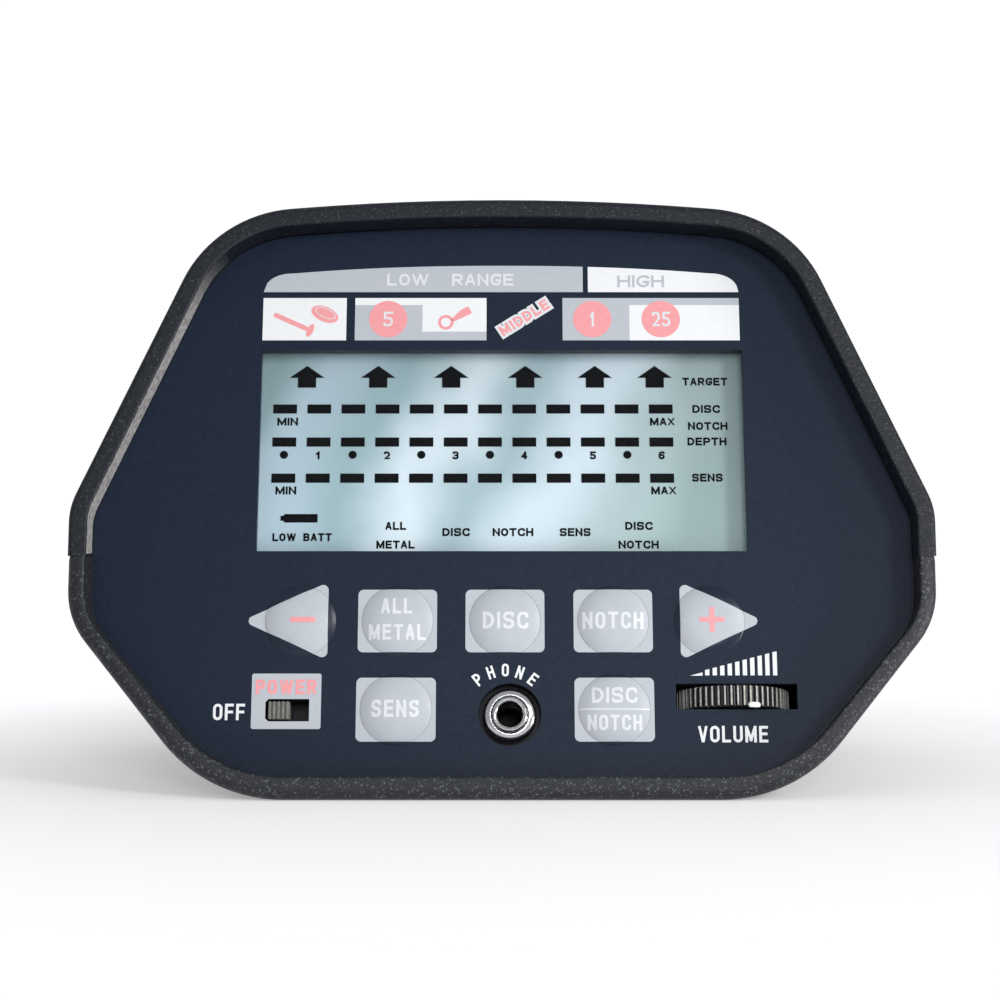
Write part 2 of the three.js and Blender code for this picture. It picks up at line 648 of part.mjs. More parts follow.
// A flat cable that leaves the main board's rear, bends round and lands on the keypad board's rear.
function ribbonCable(rear) {
  const keyRear = keyBoardFront - BOARD_THICK - FIT;
  const thick = 0.8;
  const top = -11;
  const bottom = -22;
  const bow = rear - 4;
  const profile = new THREE.Shape([
    new THREE.Vector2(top, rear),
    new THREE.Vector2(top, bow),
    new THREE.Vector2(top - 2, bow - 1),
    new THREE.Vector2(bottom + 2, bow - 1),
    new THREE.Vector2(bottom, bow),
    new THREE.Vector2(bottom, keyRear),
    new THREE.Vector2(bottom + thick, keyRear),
    new THREE.Vector2(bottom + thick, bow + 0.6),
    new THREE.Vector2(bottom + 2 + thick / 2, bow - 1 + thick),
    new THREE.Vector2(top - 2 - thick / 2, bow - 1 + thick),
    new THREE.Vector2(top - thick, bow + 0.6),
    new THREE.Vector2(top - thick, rear),
  ]);
  const width = 16;
  const band = new THREE.ExtrudeGeometry(profile, { depth: width, bevelEnabled: false });
  // The profile's X is up the panel and its Y is out of it, so its axes turn to Y, Z and X.
  const turn = new THREE.Matrix4().makeBasis(
    new THREE.Vector3(0, 1, 0),
    new THREE.Vector3(0, 0, 1),
    new THREE.Vector3(1, 0, 0),
  );
  band.applyMatrix4(turn);
  band.translate(-width / 2, 0, 0);
  return toSolid(band);
}

// ---- controls ----

const keyFlangeTop = panelBack - FIT;
const keyFlangeBottom = keyFlangeTop - 0.8;
const switchTop = keyBoardFront + SEAT + SWITCH_BODY + SWITCH_PLUNGER;
const keyBottom = switchTop + KEY_TRAVEL + FIT;

function keyShape() {
  const shoulder = filmBack + 0.05;
  const profile = [
    [0, keyBottom],
    [2.2, keyBottom],
    [2.2, keyFlangeBottom],
    [KEY_RADIUS + KEY_FLANGE, keyFlangeBottom],
    [KEY_RADIUS + KEY_FLANGE, keyFlangeTop],
    [KEY_RADIUS, keyFlangeTop],
    [KEY_RADIUS, shoulder],
    [KEY_RADIUS * 0.9, KEY_CROWN * 0.45],
    [KEY_RADIUS * 0.65, KEY_CROWN * 0.85],
    [0, KEY_CROWN],
  ];
  return turned(profile, 16);
}

function keys() {
  KEYS.forEach(({ name, x, y }) => {
    place(face, `key_${name}`, keyShape().translate([x, y, 0]), FINISH.key);
    const bodyLevels = [keyBoardFront + SEAT, keyBoardFront + SEAT + SWITCH_BODY];
    const caseBlock = block(around(x, SWITCH_SIZE), around(y, SWITCH_SIZE), bodyLevels);
    const plunger = rod("z", [x, y], bodyLevels[0] + 1, switchTop, 1.75, 12);
    place(face, `tact_switch_${name}`, join([caseBlock, plunger]), FINISH.black);
  });
}

function powerSwitch() {
  const front = panelBack - FIT;
  const back = front - POWER_BODY.depth;
  const cage = block(around(power.x, POWER_BODY.width), around(power.y, POWER_BODY.height), [back, front]);
  const channelLevel = front - 3.6;
  const channel = block(around(power.x, power.width + 0.6), around(power.y, power.height), [channelLevel, front + 1]);
  place(face, "power_switch_body", cut(cage, [channel]), FINISH.steel);
  const { grips, proud } = POWER_KNOB;
  const pitch = POWER_KNOB.width / grips;
  const high = around(power.y, POWER_KNOB.height);
  const base = block(around(POWER_KNOB.x, POWER_KNOB.width), high, [channelLevel + FIT, proud - 0.6]);
  const ridges = Array.from({ length: grips }, (_, i) => {
    const centre = POWER_KNOB.x + (i - (grips - 1) / 2) * pitch;
    return block(around(centre, pitch * 0.55), high, [proud - 1, proud]);
  });
  place(face, "power_knob", join([base, ...ridges]), FINISH.knob);
}

function ring(outer, inner, back, front, segments = 24) {
  return cut(rod("z", [0, 0], back, front, outer, segments), [rod("z", [0, 0], back - 1, front + 1, inner, segments)]);
}

function phoneJack() {
  const jack = new THREE.Group();
  jack.position.set(JACK.x, JACK.y, 0);
  face.add(jack);
  const bracketFront = panelBack - 2 * FIT;
  const bracketBack = bracketFront - JACK_BRACKET.thick;
  const bodyFront = bracketBack - SEAT;
  const bodyBack = bodyFront - JACK_BODY.depth;
  const nutBack = bracketFront + SEAT;
  const bracket = plate(rectangle(JACK_BRACKET.width, JACK_BRACKET.height, 0), bracketBack, bracketFront);
  const throat = rod("z", [0, 0], bracketBack - 1, bracketFront + 1, JACK.bushing + FIT, 20);
  place(jack, "jack_bracket", cut(bracket, [throat]), FINISH.steel);
  const shell = plate(rectangle(JACK_BODY.width, JACK_BODY.height, 0), bodyBack, bodyFront);
  const seat = rod("z", [0, 0], bodyFront - 2, bodyFront + 1, JACK.bushing + SEAT, 20);
  const bore = rod("z", [0, 0], bodyBack + 1, bodyFront + 1, JACK.bore + 0.2, 16);
  place(jack, "jack_body", cut(shell, [seat, bore]), FINISH.black);
  place(jack, "jack_bushing", ring(JACK.bushing, JACK.bore, bodyFront - 2 + SEAT, JACK.proud, 20), FINISH.steel);
  const nutFront = nutBack + JACK.nutThick;
  place(jack, "jack_nut", ring(JACK.nut, JACK.bushing + FIT, nutBack, nutFront, 24), FINISH.steel);
}

// The volume control's pieces stand on one axis up the panel, so they are turned about Z and laid over.
function volumeControl() {
  const control = new THREE.Group();
  control.position.set(WHEEL.x, WHEEL.y, -WHEEL.centre);
  control.rotation.x = -Math.PI / 2;
  face.add(control);
  const half = WHEEL.thick / 2;
  const rim = new THREE.Shape(ribbedCircle());
  const wheel = plate(rim, -half, half);
  const potTop = -half - FIT;
  const potBottom = potTop - POT.thick;
  const shaft = rod("z", [0, 0], potTop - 2, 0, POT.shaft, 16);
  const screwHole = rod("z", [0, 0], half - 1.2, half + 1, 1, 10);
  place(control, "volume_wheel", cut(join([wheel, shaft]), [screwHole]), FINISH.black);
  const well = rod("z", [0, 0], potTop - 2 - FIT, potTop + 1, POT.shaft + FIT, 16);
  const pot = rod("z", [0, 0], potBottom, potTop, POT.radius, 20);
  const terminals = block(around(0, 9), [0, POT.radius + POT.terminals], [potBottom, potBottom + 1.6]);
  place(control, "volume_pot_body", cut(join([pot, terminals]), [well]), FINISH.rubber);
  const head = rod("z", [0, 0], half + SEAT, half + 1.1, 1.9, 14);
  const shank = rod("z", [0, 0], half - 0.9, half + 0.6, 0.7, 8);
  place(control, "volume_wheel_screw", join([head, shank]), FINISH.steel);
}

function ribbedCircle() {
  const points = [];
  for (let i = 0; i < 2 * WHEEL.ribs; i += 1) {
    const angle = (i / WHEEL.ribs) * Math.PI;
    const radius = WHEEL.radius - (i % 2 ? WHEEL.ribDepth : 0);
    points.push(new THREE.Vector2(radius * Math.cos(angle), radius * Math.sin(angle)));
  }
  return points;
}

// ---- behind the panel ----

// The loudspeaker is turned about Z, level 0 at its flange and up towards its magnet, then laid along -Y.
function speaker() {
  const unit = new THREE.Group();
  unit.position.set(0, rearY - REAR_WALL - FIT, SPEAKER.height);
  unit.rotation.x = Math.PI / 2;
  body.add(unit);
  const { radius, depth, magnet, magnetThick } = SPEAKER;
  const throat = magnet + 1.2;
  const frame = [
    [radius - 1.6, 0],
    [radius, 0],
    [radius, 2],
    [throat, depth],
    [throat - 2.6, depth],
    [throat - 2.6, depth - 1],
    [throat - 0.7, depth - 1.2],
    [radius - 1.6, 1.8],
    [radius - 1.6, 0],
  ];
  place(unit, "speaker_frame", turned(frame, 20), FINISH.steel);
  const edge = radius - 1.6 - FIT;
  const cone = [
    [0, 4.6],
    [3.5, 5.2],
    [4.6, 6.2],
    [edge - 2, 1.2],
    [edge, 0.8],
    [edge, 1.3],
    [edge - 2, 1.8],
    [5, 7],
    [0, 7],
  ];
  place(unit, "speaker_cone", turned(cone, 20), FINISH.cone);
  const levels = [depth + FIT, depth + FIT + magnetThick];
  place(unit, "speaker_magnet", rod("z", [0, 0], levels[0], levels[1], magnet, 24), FINISH.steel);
}

function battery(name, x) {
  const across = around(x, BATTERY.width);
  const up = [BATTERY.low, batteryHigh];
  const terminals = [-1, 1].map((side) => {
    const centre = [x + side * BATTERY_STUD.offset, doorMiddle];
    return rod("y", centre, batteryFront - BATTERY.terminal, batteryFront + 1, BATTERY_STUD.radius, 12);
  });
  const cell = block(across, [batteryFront, batteryRear - FIT], up);
  place(body, `battery_${name}`, join([cell, ...terminals]), FINISH.battery);
  const snap = block(around(x, BATTERY.width - 1), [snapBack - BATTERY.snap, snapBack], around(doorMiddle, SNAP_HEIGHT));
  place(body, `battery_snap_${name}`, snap, FINISH.rubber);
}

function batteryDoor(name, x) {
  const inner = rearY - DOOR.ledge + SEAT;
  const outer = inner + DOOR.thick;
  const sheet = block(around(x, doorWidth), [inner, outer], around(doorMiddle, doorHeight));
  const { barrel, barrelHalf, pin, earThick } = HINGE;
  const across = around(x, 2 * barrelHalf - 1);
  const arm = block(across, [outer - 0.6, hingeY + 1], [doorTop - 2.2, doorTop - 0.4]);
  const neck = block(across, [hingeY - 0.9, hingeY + 1], [doorTop - 2, hingeZ]);
  const knuckle = rod("x", [hingeY, hingeZ], x - barrelHalf, x + barrelHalf, barrel, 14);
  const reach = barrelHalf + FIT + earThick - 0.4;
  const pins = rod("x", [hingeY, hingeZ], x - reach, x + reach, pin, 10);
  place(body, `battery_door_${name}`, join([sheet, arm, neck, knuckle, pins]), FINISH.shell);
}

function coilSocket() {
  const axis = [0, SOCKET.height];
  const front = rearY - SOCKET.inside;
  const end = rearY + SOCKET.reach;
  const sleeve = rod("y", axis, front, end, SOCKET.radius, 24);
  const flange = rod("y", axis, rearY - REAR_WALL - FIT - 2, rearY - REAR_WALL - FIT, SOCKET.flange, 24);
  const bore = rod("y", axis, front - 1, end + 1, SOCKET.bore, 24);
  place(body, "coil_socket_shell", cut(join([sleeve, flange]), [bore]), FINISH.steel);
  const contacts = Array.from({ length: 5 }, (_, i) => {
    const angle = (i / 5) * 2 * Math.PI + Math.PI / 2;
    const at = [3 * Math.cos(angle), SOCKET.height + 3 * Math.sin(angle)];
    return rod("y", at, rearY - 5, rearY, 0.6, 8);
  });
  const insert = rod("y", axis, front, rearY - 1, SOCKET.bore - SEAT, 24);
  place(body, "coil_socket_insert", cut(insert, contacts), FINISH.black);
  const nut = rod("y", axis, rearY + SEAT, rearY + SEAT + SOCKET.nutThick, SOCKET.nut, 6);
  const thread = rod("y", axis, rearY - 1, rearY + 9, SOCKET.radius + SEAT, 24);
  place(body, "coil_socket_nut", cut(nut, [thread]), FINISH.steel);
}

function fasteners() {
  screwPlaces.forEach(({ x, y }) => {
    const name = `housing_screw_${y === SCREW_ROWS[0] ? "front" : "rear"}_${x < 0 ? "left" : "right"}`;
    const head = rod("z", [x, y], SCREW.sunk - SCREW.headThick, SCREW.sunk, SCREW.head, 14);
    const shank = rod("z", [x, y], SCREW.sunk - 1, SCREW.top, SCREW.shank, 10);
    place(body, name, join([head, shank]), FINISH.steel);
  });
  insertPlaces.forEach((y, i) => {
    const low = STEM.radius + SEAT;
    const sleeve = rod("z", [0, y], low, low + 4.6, STEM.insert, 14);
    const bore = rod("z", [0, y], low - 1, low + 6, STEM.insertBore, 10);
    place(body, `stem_insert_${i ? "rear" : "front"}`, cut(sleeve, [bore]), FINISH.brass);
  });
}

// ---- leads ----

const facePoint = (x, y, z) => new THREE.Vector3(x, y, z).applyMatrix4(face.matrixWorld);

// A lead along a smooth curve. Each one lands square on the main board's rear.
function lead(name, points, x, y, radius = 1) {
  const rear = mainBoardFront - BOARD_THICK - FIT;
  const landing = [facePoint(x, y, rear - 6), facePoint(x, y, rear - 3), facePoint(x, y, rear)];
  const route = new THREE.CatmullRomCurve3([...points, ...landing]);
  const section = new THREE.Shape().absarc(0, 0, radius, 0, 2 * Math.PI);
  const settings = { steps: 14, bevelEnabled: false, extrudePath: route, curveSegments: 3 };
  place(body, name, toSolid(new THREE.ExtrudeGeometry(section, settings)), FINISH.lead);
}

function leads() {
  const snapMiddle = snapBack - BATTERY.snap / 2;
  [["left", -1], ["right", 1]].forEach(([name, side]) => {
    const x = side * batteryX;
    const top = doorMiddle + SNAP_HEIGHT / 2 + FIT;
    const points = [
      new THREE.Vector3(x, snapMiddle, top),
      new THREE.Vector3(x, snapMiddle, top + 5),
      new THREE.Vector3(x, snapMiddle + 3, top + 13),
    ];
    lead(`battery_lead_${name}`, points, side * 25, 4);
  });
  const speakerFront = rearY - REAR_WALL - 2 * FIT - SPEAKER.depth - SPEAKER.magnetThick;
  const speakerPoints = [
    new THREE.Vector3(8, speakerFront - FIT, SPEAKER.height - 4),
    new THREE.Vector3(8, speakerFront - 6, SPEAKER.height - 5),
  ];
  lead("speaker_lead", speakerPoints, 6, 12);
  const socketPoints = [
    new THREE.Vector3(0, rearY - SOCKET.inside - FIT, SOCKET.height),
    new THREE.Vector3(0, rearY - SOCKET.inside - 8, SOCKET.height + 1),
    new THREE.Vector3(-4, rearY - SOCKET.inside - 22, SOCKET.height + 12),
  ];
  lead("coil_lead", socketPoints, -8, 2, 1.6);
}

// ---- assembly ----

place(body, "upper_shell", upperShell(), FINISH.shell);
place(body, "lower_shell", lowerShell(), FINISH.shell);
place(face, "front_panel", frontPanel(), FINISH.panel);
const filmInset = UPPER_RIM + SEAT;
place(face, "panel_overlay", panelSheet(filmInset, 0, filmBack, 0), FINISH.film);
displayParts();
boards();
keys();
powerSwitch();
phoneJack();
volumeControl();
speaker();
[["left", -1], ["right", 1]].forEach(([name, side]) => {
  battery(name, side * batteryX);
  batteryDoor(name, side * batteryX);
});
coilSocket();
fasteners();
leads();

const model = new THREE.Group();
model.add(body, face);
const box = new THREE.Box3().setFromObject(model);
model.position.y = -(box.min.y + box.max.y) / 2; // the origin is under the middle of the whole head

export default model;
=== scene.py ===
import json
import math
import bmesh
import bpy
from mathutils import Matrix, Vector
from mathutils.geometry import delaunay_2d_cdt


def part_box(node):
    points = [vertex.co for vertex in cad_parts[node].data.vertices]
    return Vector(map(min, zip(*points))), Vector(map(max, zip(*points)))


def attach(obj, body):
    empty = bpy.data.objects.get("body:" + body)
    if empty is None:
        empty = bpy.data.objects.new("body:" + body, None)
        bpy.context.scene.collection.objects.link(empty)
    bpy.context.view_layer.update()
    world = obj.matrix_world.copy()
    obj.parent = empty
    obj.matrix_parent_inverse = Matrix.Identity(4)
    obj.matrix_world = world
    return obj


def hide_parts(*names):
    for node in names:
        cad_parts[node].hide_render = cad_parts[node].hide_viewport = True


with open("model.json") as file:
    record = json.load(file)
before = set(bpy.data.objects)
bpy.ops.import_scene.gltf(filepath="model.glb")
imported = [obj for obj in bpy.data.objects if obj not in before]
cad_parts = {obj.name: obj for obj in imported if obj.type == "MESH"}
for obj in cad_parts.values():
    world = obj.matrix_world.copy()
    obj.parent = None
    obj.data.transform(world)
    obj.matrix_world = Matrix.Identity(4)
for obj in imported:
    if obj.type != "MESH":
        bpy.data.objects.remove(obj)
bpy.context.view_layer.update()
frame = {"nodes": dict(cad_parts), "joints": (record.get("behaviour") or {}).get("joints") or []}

# Lengths are in millimetres, as in the CAD part, and become metres where a piece is made.
MM = 0.001
TAU = 2 * math.pi

# ---- the panel's frame: u to the right, v up the panel, w out of it ----

RAKE = math.radians(14)
SIN, COS = math.sin(RAKE), math.cos(RAKE)
TURN = Matrix(((1, 0, 0), (0, SIN, -COS), (0, COS, SIN)))
JOINTS = {joint["name"]: joint for joint in frame["joints"]}
WHEEL_AT = Vector((39.2, -33.8, -8))  # the volume wheel's middle, in the panel's frame
ORIGIN = Vector(JOINTS["volume_wheel_turn"]["pos_m"]) / MM - TURN @ WHEEL_AT
FACE = Matrix.Translation(ORIGIN * MM) @ TURN.to_4x4()
FACE_INVERSE = FACE.inverted()
WORLD = Matrix.Identity(4)


def span(node):
    """Lowest and highest corner of a CAD node in the panel's frame, in millimetres."""
    points = [FACE_INVERSE @ vertex.co / MM for vertex in frame["nodes"][node].data.vertices]
    low = Vector([min(p[i] for p in points) for i in range(3)])
    high = Vector([max(p[i] for p in points) for i in range(3)])
    return low, high


def reach(node):
    """Lowest and highest corner of a CAD node in the housing's frame, in millimetres."""
    low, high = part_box(node)
    return low / MM, high / MM


def turns(count):
    """This many angles, evenly spaced round a full turn."""
    return [TAU * k / count for k in range(count)]


def around(centre, radius, angle):
    return (centre[0] + radius * math.cos(angle), centre[1] + radius * math.sin(angle))


# ---- shapes: each is a pair of vertices and faces ----


def to_bmesh(shape):
    work = bmesh.new()
    points = [work.verts.new(point) for point in shape[0]]
    for face in shape[1]:
        work.faces.new([points[i] for i in face])
    bmesh.ops.remove_doubles(work, verts=work.verts, dist=1e-5)
    bmesh.ops.dissolve_degenerate(work, dist=1e-6, edges=work.edges)
    bmesh.ops.recalc_face_normals(work, faces=work.faces)
    return work


def from_bmesh(work):
    work.verts.index_update()
    shape = ([tuple(v.co) for v in work.verts], [[v.index for v in f.verts] for f in work.faces])
    work.free()
    return shape


def moved(shape, matrix):
    return [tuple(matrix @ Vector(point)) for point in shape[0]], shape[1]


def shifted(shape, x, y, z):
    return moved(shape, Matrix.Translation((x, y, z)))


def together(*shapes):
    points, faces = [], []
    for shape in shapes:
        first = len(points)
        points.extend(shape[0])
        faces.extend([i + first for i in face] for face in shape[1])
    return points, faces


def placed(name, data):
    """A new object of the scene."""
    made = bpy.data.objects.new(name, data)
    bpy.context.scene.collection.objects.link(made)
    return made


def combine(shape, tools, operation):
    """The shape with each tool added to it, cut from it or kept in common with it."""
    for tool in tools:
        objects = []
        for part in (shape, tool):
            mesh = bpy.data.meshes.new("work")
            work = to_bmesh(part)
            work.to_mesh(mesh)
            work.free()
            objects.append(placed("work", mesh))
        modifier = objects[0].modifiers.new("combine", "BOOLEAN")
        modifier.operation = operation
        modifier.solver = "MANIFOLD"
        modifier.object = objects[1]
        bpy.context.view_layer.update()
        result = objects[0].evaluated_get(bpy.context.evaluated_depsgraph_get()).to_mesh()
        shape = ([tuple(v.co) for v in result.vertices], [list(p.vertices) for p in result.polygons])
        for made in objects:
            mesh = made.data
            bpy.data.objects.remove(made)
            bpy.data.meshes.remove(mesh)
        if not shape[1]:
            raise RuntimeError("a boolean left nothing")
    return shape


def cut(shape, tools):
    return combine(shape, tools, "DIFFERENCE")


def joined(shape, tools):
    return combine(shape, tools, "UNION")


def common(shape, tool):
    return combine(shape, [tool], "INTERSECT")


def slab(low, high, edge=0.0, steps=2):
    """A box between two corners, with its edges rounded."""
    work = bmesh.new()
    bmesh.ops.create_cube(work, size=1)
    size = Vector(high) - Vector(low)
    middle = (Vector(high) + Vector(low)) / 2
    for vertex in work.verts:
        vertex.co = Vector(a * b for a, b in zip(vertex.co, size)) + middle
    if edge:
        bmesh.ops.bevel(work, geom=work.edges[:], offset=edge, segments=steps, profile=0.5, affect="EDGES")
    return from_bmesh(work)


def lathe(profile, segments=48, closed=False):
    """A profile of (radius, level) turned about Z. It starts and ends on the axis, or closes on itself."""
    points, rings = [], []
    for radius, level in profile:
        first = len(points)
        if radius == 0:
            points.append((0, 0, level))
            rings.append([first] * segments)
            continue
        points += [(*around((0, 0), radius, angle), level) for angle in turns(segments)]
        rings.append(list(range(first, first + segments)))
    return points, between(rings, closed)


def between(rings, closed=False):
    """The faces that join each ring of points to the next."""
    faces = []
    pairs = list(zip(rings, rings[1:]))
    if closed:
        pairs.append((rings[-1], rings[0]))
    for here, after in pairs:
        count = len(here)
        for k in range(count):
            corners = [here[k], here[(k + 1) % count], after[(k + 1) % count], after[k]]
            unique = [c for i, c in enumerate(corners) if c not in corners[:i]]
            if len(unique) > 2:
                faces.append(unique)
    return faces


ALONG = {
    "x": Matrix(((0, 0, 1, 0), (1, 0, 0, 0), (0, 1, 0, 0), (0, 0, 0, 1))),
    "y": Matrix(((0, 1, 0, 0), (0, 0, 1, 0), (1, 0, 0, 0), (0, 0, 0, 1))),
    "z": Matrix.Identity(4),
}


def rod(axis, centre, low, high, radius, edge=0.0, segments=40):
    """A cylinder along an axis, from one level to another, with its two ends' edges rounded off."""
    steps = 3 if edge else 0
    lower = [(radius - edge * (1 - math.sin(a)), low + edge * (1 - math.cos(a))) for a in quarter(steps)]
    upper = [(r, high - (level - low)) for r, level in reversed(lower)]
    shape = moved(lathe([(0, low), *lower, *upper, (0, high)], segments), ALONG[axis])
    a, b = centre
    offset = {"x": (0, a, b), "y": (a, 0, b), "z": (a, b, 0)}[axis]
    return shifted(shape, *offset)


def quarter(steps):
    return [math.pi / 2 * k / steps for k in range(steps + 1)] if steps else [math.pi / 2]


def ring_of(centre, radius, count=64):
    return [around(centre, radius, angle) for angle in turns(count)]


def rectangle(left, right, bottom, top):
    return [(left, bottom), (right, bottom), (right, top), (left, top)]


def rounded(corners, radii, steps=6):
    """A polygon, anticlockwise, with an arc of its own radius at each corner."""
    if isinstance(radii, (int, float)):
        radii = [radii] * len(corners)
    loop = []
    for i, corner in enumerate(corners):
        here = Vector(corner)
        before = (Vector(corners[i - 1]) - here).normalized()
        after = (Vector(corners[(i + 1) % len(corners)]) - here).normalized()
        if not radii[i]:
            loop.append(tuple(here))
            continue
        half = before.angle(after) / 2
        tangent = radii[i] / math.tan(half)
        centre = here + (before + after).normalized() * radii[i] / math.sin(half)
        start = here + before * tangent - centre
        end = here + after * tangent - centre
        for k in range(steps + 1):
            point = start.lerp(end, k / steps)
            loop.append(tuple(centre + point.normalized() * radii[i]))
    return loop


def inside(point, loop):
    x, y = point
    odd = False
    for (x0, y0), (x1, y1) in zip(loop, loop[1:] + loop[:1]):
        if (y0 > y) != (y1 > y) and x < (x1 - x0) * (y - y0) / (y1 - y0) + x0:
            odd = not odd
    return odd


def filled(loops, keep=None):
    """Triangles that fill flat loops. By default they fill what lies inside an odd number of loops."""
    points, edges = [], []
    for loop in loops:
        first = len(points)
        points.extend(Vector(point) for point in loop)
        edges.extend((first + k, first + (k + 1) % len(loop)) for k in range(len(loop)))
    keep = keep or (lambda point: sum(inside(point, loop) for loop in loops) % 2 == 1)
    flat, _, triangles, *_ = delaunay_2d_cdt(points, edges, [], 0, 1e-6)
    kept = []
    for triangle in triangles:
        middle = sum((flat[i] for i in triangle), Vector((0, 0))) / 3
        if keep(tuple(middle)):
            kept.append(list(triangle))
    return [tuple(point) for point in flat], kept


def plate(loops, low, high, keep=None):
    """A flat sheet between two levels, cut to its loops."""
    flat, triangles = filled(loops, keep)
    count = len(flat)
    points = [(x, y, high) for x, y in flat] + [(x, y, low) for x, y in flat]
    faces = [list(t) for t in triangles] + [[i + count for i in reversed(t)] for t in triangles]
    borders = {}
    for a, b, c in triangles:
        for edge in ((a, b), (b, c), (c, a)):
            borders[edge] = borders.get((edge[1], edge[0]), 0) + 1
    alone = [edge for edge in borders if (edge[1], edge[0]) not in borders]
    faces.extend([b, a, a + count, b + count] for a, b in alone)
    return points, faces


# ---- lettering: plain strokes of one thickness ----

# Each letter is a set of strokes on a unit box. A star rounds a corner, and an o closes the stroke.
GLYPHS = {
    " ": "",
    "A": "0,0 .43,1; .57,1 1,0; .2,.3 .8,.3",
    "B": "o 0,0 1,0* 1,.53* 0,.53; o 0,.53 .94,.53* .94,1* 0,1",
    "C": "1,.8 1,1* 0,1* 0,0* 1,0* 1,.2",
    "D": "o 0,0 1,0* 1,1* 0,1",
    "E": "0,0 0,1; 0,0 1,0; 0,.52 .9,.52; 0,1 1,1",
    "F": "0,0 0,1; 0,.5 .9,.5; 0,1 1,1",
    "G": "1,.86 1,1* 0,1* 0,0* 1,0* 1,.44 .6,.44",
    "H": "0,0 0,1; 1,0 1,1; 0,.52 1,.52",
    "I": ".5,0 .5,1",
    "L": "0,1 0,0 1,0",
    "M": "0,0 0,1; 1,0 1,1; .04,1 .5,.1; .5,.1 .96,1",
    "N": "0,0 0,1; 1,0 1,1; 0,1 1,0",
    "O": "o 0,0* 1,0* 1,1* 0,1*",
    "P": "0,0 0,1; o 0,.44 1,.44* 1,1* 0,1",
    "R": "0,0 0,1; o 0,.46 1,.46* 1,1* 0,1; .45,.46 1,0",
    "S": ".97,.86 1,1* 0,1* 0,.53* 1,.48* 1,0* 0,0* .03,.14",
    "T": ".5,0 .5,1; 0,1 1,1",
    "U": "0,1 0,0* 1,0* 1,1",
    "V": "0,1 .46,0; .54,0 1,1",
    "W": "0,1 .24,0; .26,0 .49,1; .51,1 .74,0; .76,0 1,1",
    "X": "0,0 1,1; 0,1 1,0",
    "1": ".6,0 .6,1; .6,.97 .15,.72",
    "2": "0,.84 0,1* 1,1* 1,.5 0,0 1,0",
    "3": "0,.88 0,1* 1,1* 1,.5* .45,.5; .45,.5 1,.5* 1,0* 0,0* 0,.12",
    "4": ".74,0 .74,1; .7,1 0,.3; 0,.28 1,.28",
    "5": "1,1 .06,1 .06,.58 1,.58* 1,0* 0,0* 0,.13",
    "6": "o 0,0* 1,0* 1,.56* 0,.56*; 0,.3 0,1* 1,1* 1,.9",
}
OVERLAP_LIFT = 0.01  # letters that overlap don't share a face
SAME_POINT = 1e-5
BREADTHS = {"I": 0.0, "M": 1.3, "W": 1.7, " ": 0.75, "1": 0.75, "L": 0.9, "E": 0.92, "F": 0.9}


def strokes_of(glyph):
    """A letter's strokes, each as its points (across, up, rounded) and whether it closes."""
    strokes = []
    for stroke in filter(None, GLYPHS[glyph].split(";")):
        points = stroke.split()
        closed = points[0] == "o"
        corners = [(*map(float, point.strip("*").split(",")), "*" in point) for point in points[closed:]]
        strokes.append((corners, closed))
    return strokes


def bent(points, closed):
    """A stroke's middle line, with an arc at each corner that asks for one."""
    line = []
    for i, (x, y, curved) in enumerate(points):
        here = Vector((x, y))
        if not curved:
            line.append(here)
            continue
        ends = [points[i - 1], points[(i + 1) % len(points)]]
        ways = [Vector(end[:2]) - here for end in ends]
        radius = min(way.length * (0.5 if end[2] else 0.9) for way, end in zip(ways, ends))
        start, end = (way.normalized() * radius for way in ways)
        for angle in quarter(6):
            line.append(here + start * (1 - math.sin(angle)) + end * (1 - math.cos(angle)))
    kept = [p for i, p in enumerate(line) if i == 0 or (p - line[i - 1]).length > SAME_POINT]
    if closed and (kept[0] - kept[-1]).length < SAME_POINT:
        kept.pop()
    return kept


def stroke_loops(points, closed, half, box):
    """The outline, or two outlines, of a stroke this thick, kept inside the letter's box."""
    line = bent(points, closed)
    count = len(line)
    if not closed:
        line[0] = line[0] + (line[0] - line[1]).normalized() * half
        line[-1] = line[-1] + (line[-1] - line[-2]).normalized() * half
    sides = ([], [])
    for i, here in enumerate(line):
        before = (here - line[i - 1]).normalized() if closed or i else None
        after = (line[(i + 1) % count] - here).normalized() if closed or i + 1 < count else None
        along = before or after
        if before and after:
            along = (before + after).normalized()
        across = Vector((-along.y, along.x))
        stretch = 1 / max(0.5, along.dot(before or after))
        for side, way in zip(sides, (1, -1)):
            point = here + across * half * stretch * way
            side.append((min(max(point.x, 0), box[0]), min(max(point.y, 0), box[1])))
    return list(sides) if closed else [sides[0] + sides[1][::-1]]


def letter(glyph, breadth, height, half):
    """One letter's strokes as loops, each stroke's apart."""
    strokes = []
    for points, closed in strokes_of(glyph):
        scaled = [(half + x * breadth, half + y * (height - 2 * half), curved) for x, y, curved in points]
        strokes.append(stroke_loops(scaled, closed, half, (breadth + 2 * half, height)))
    return strokes


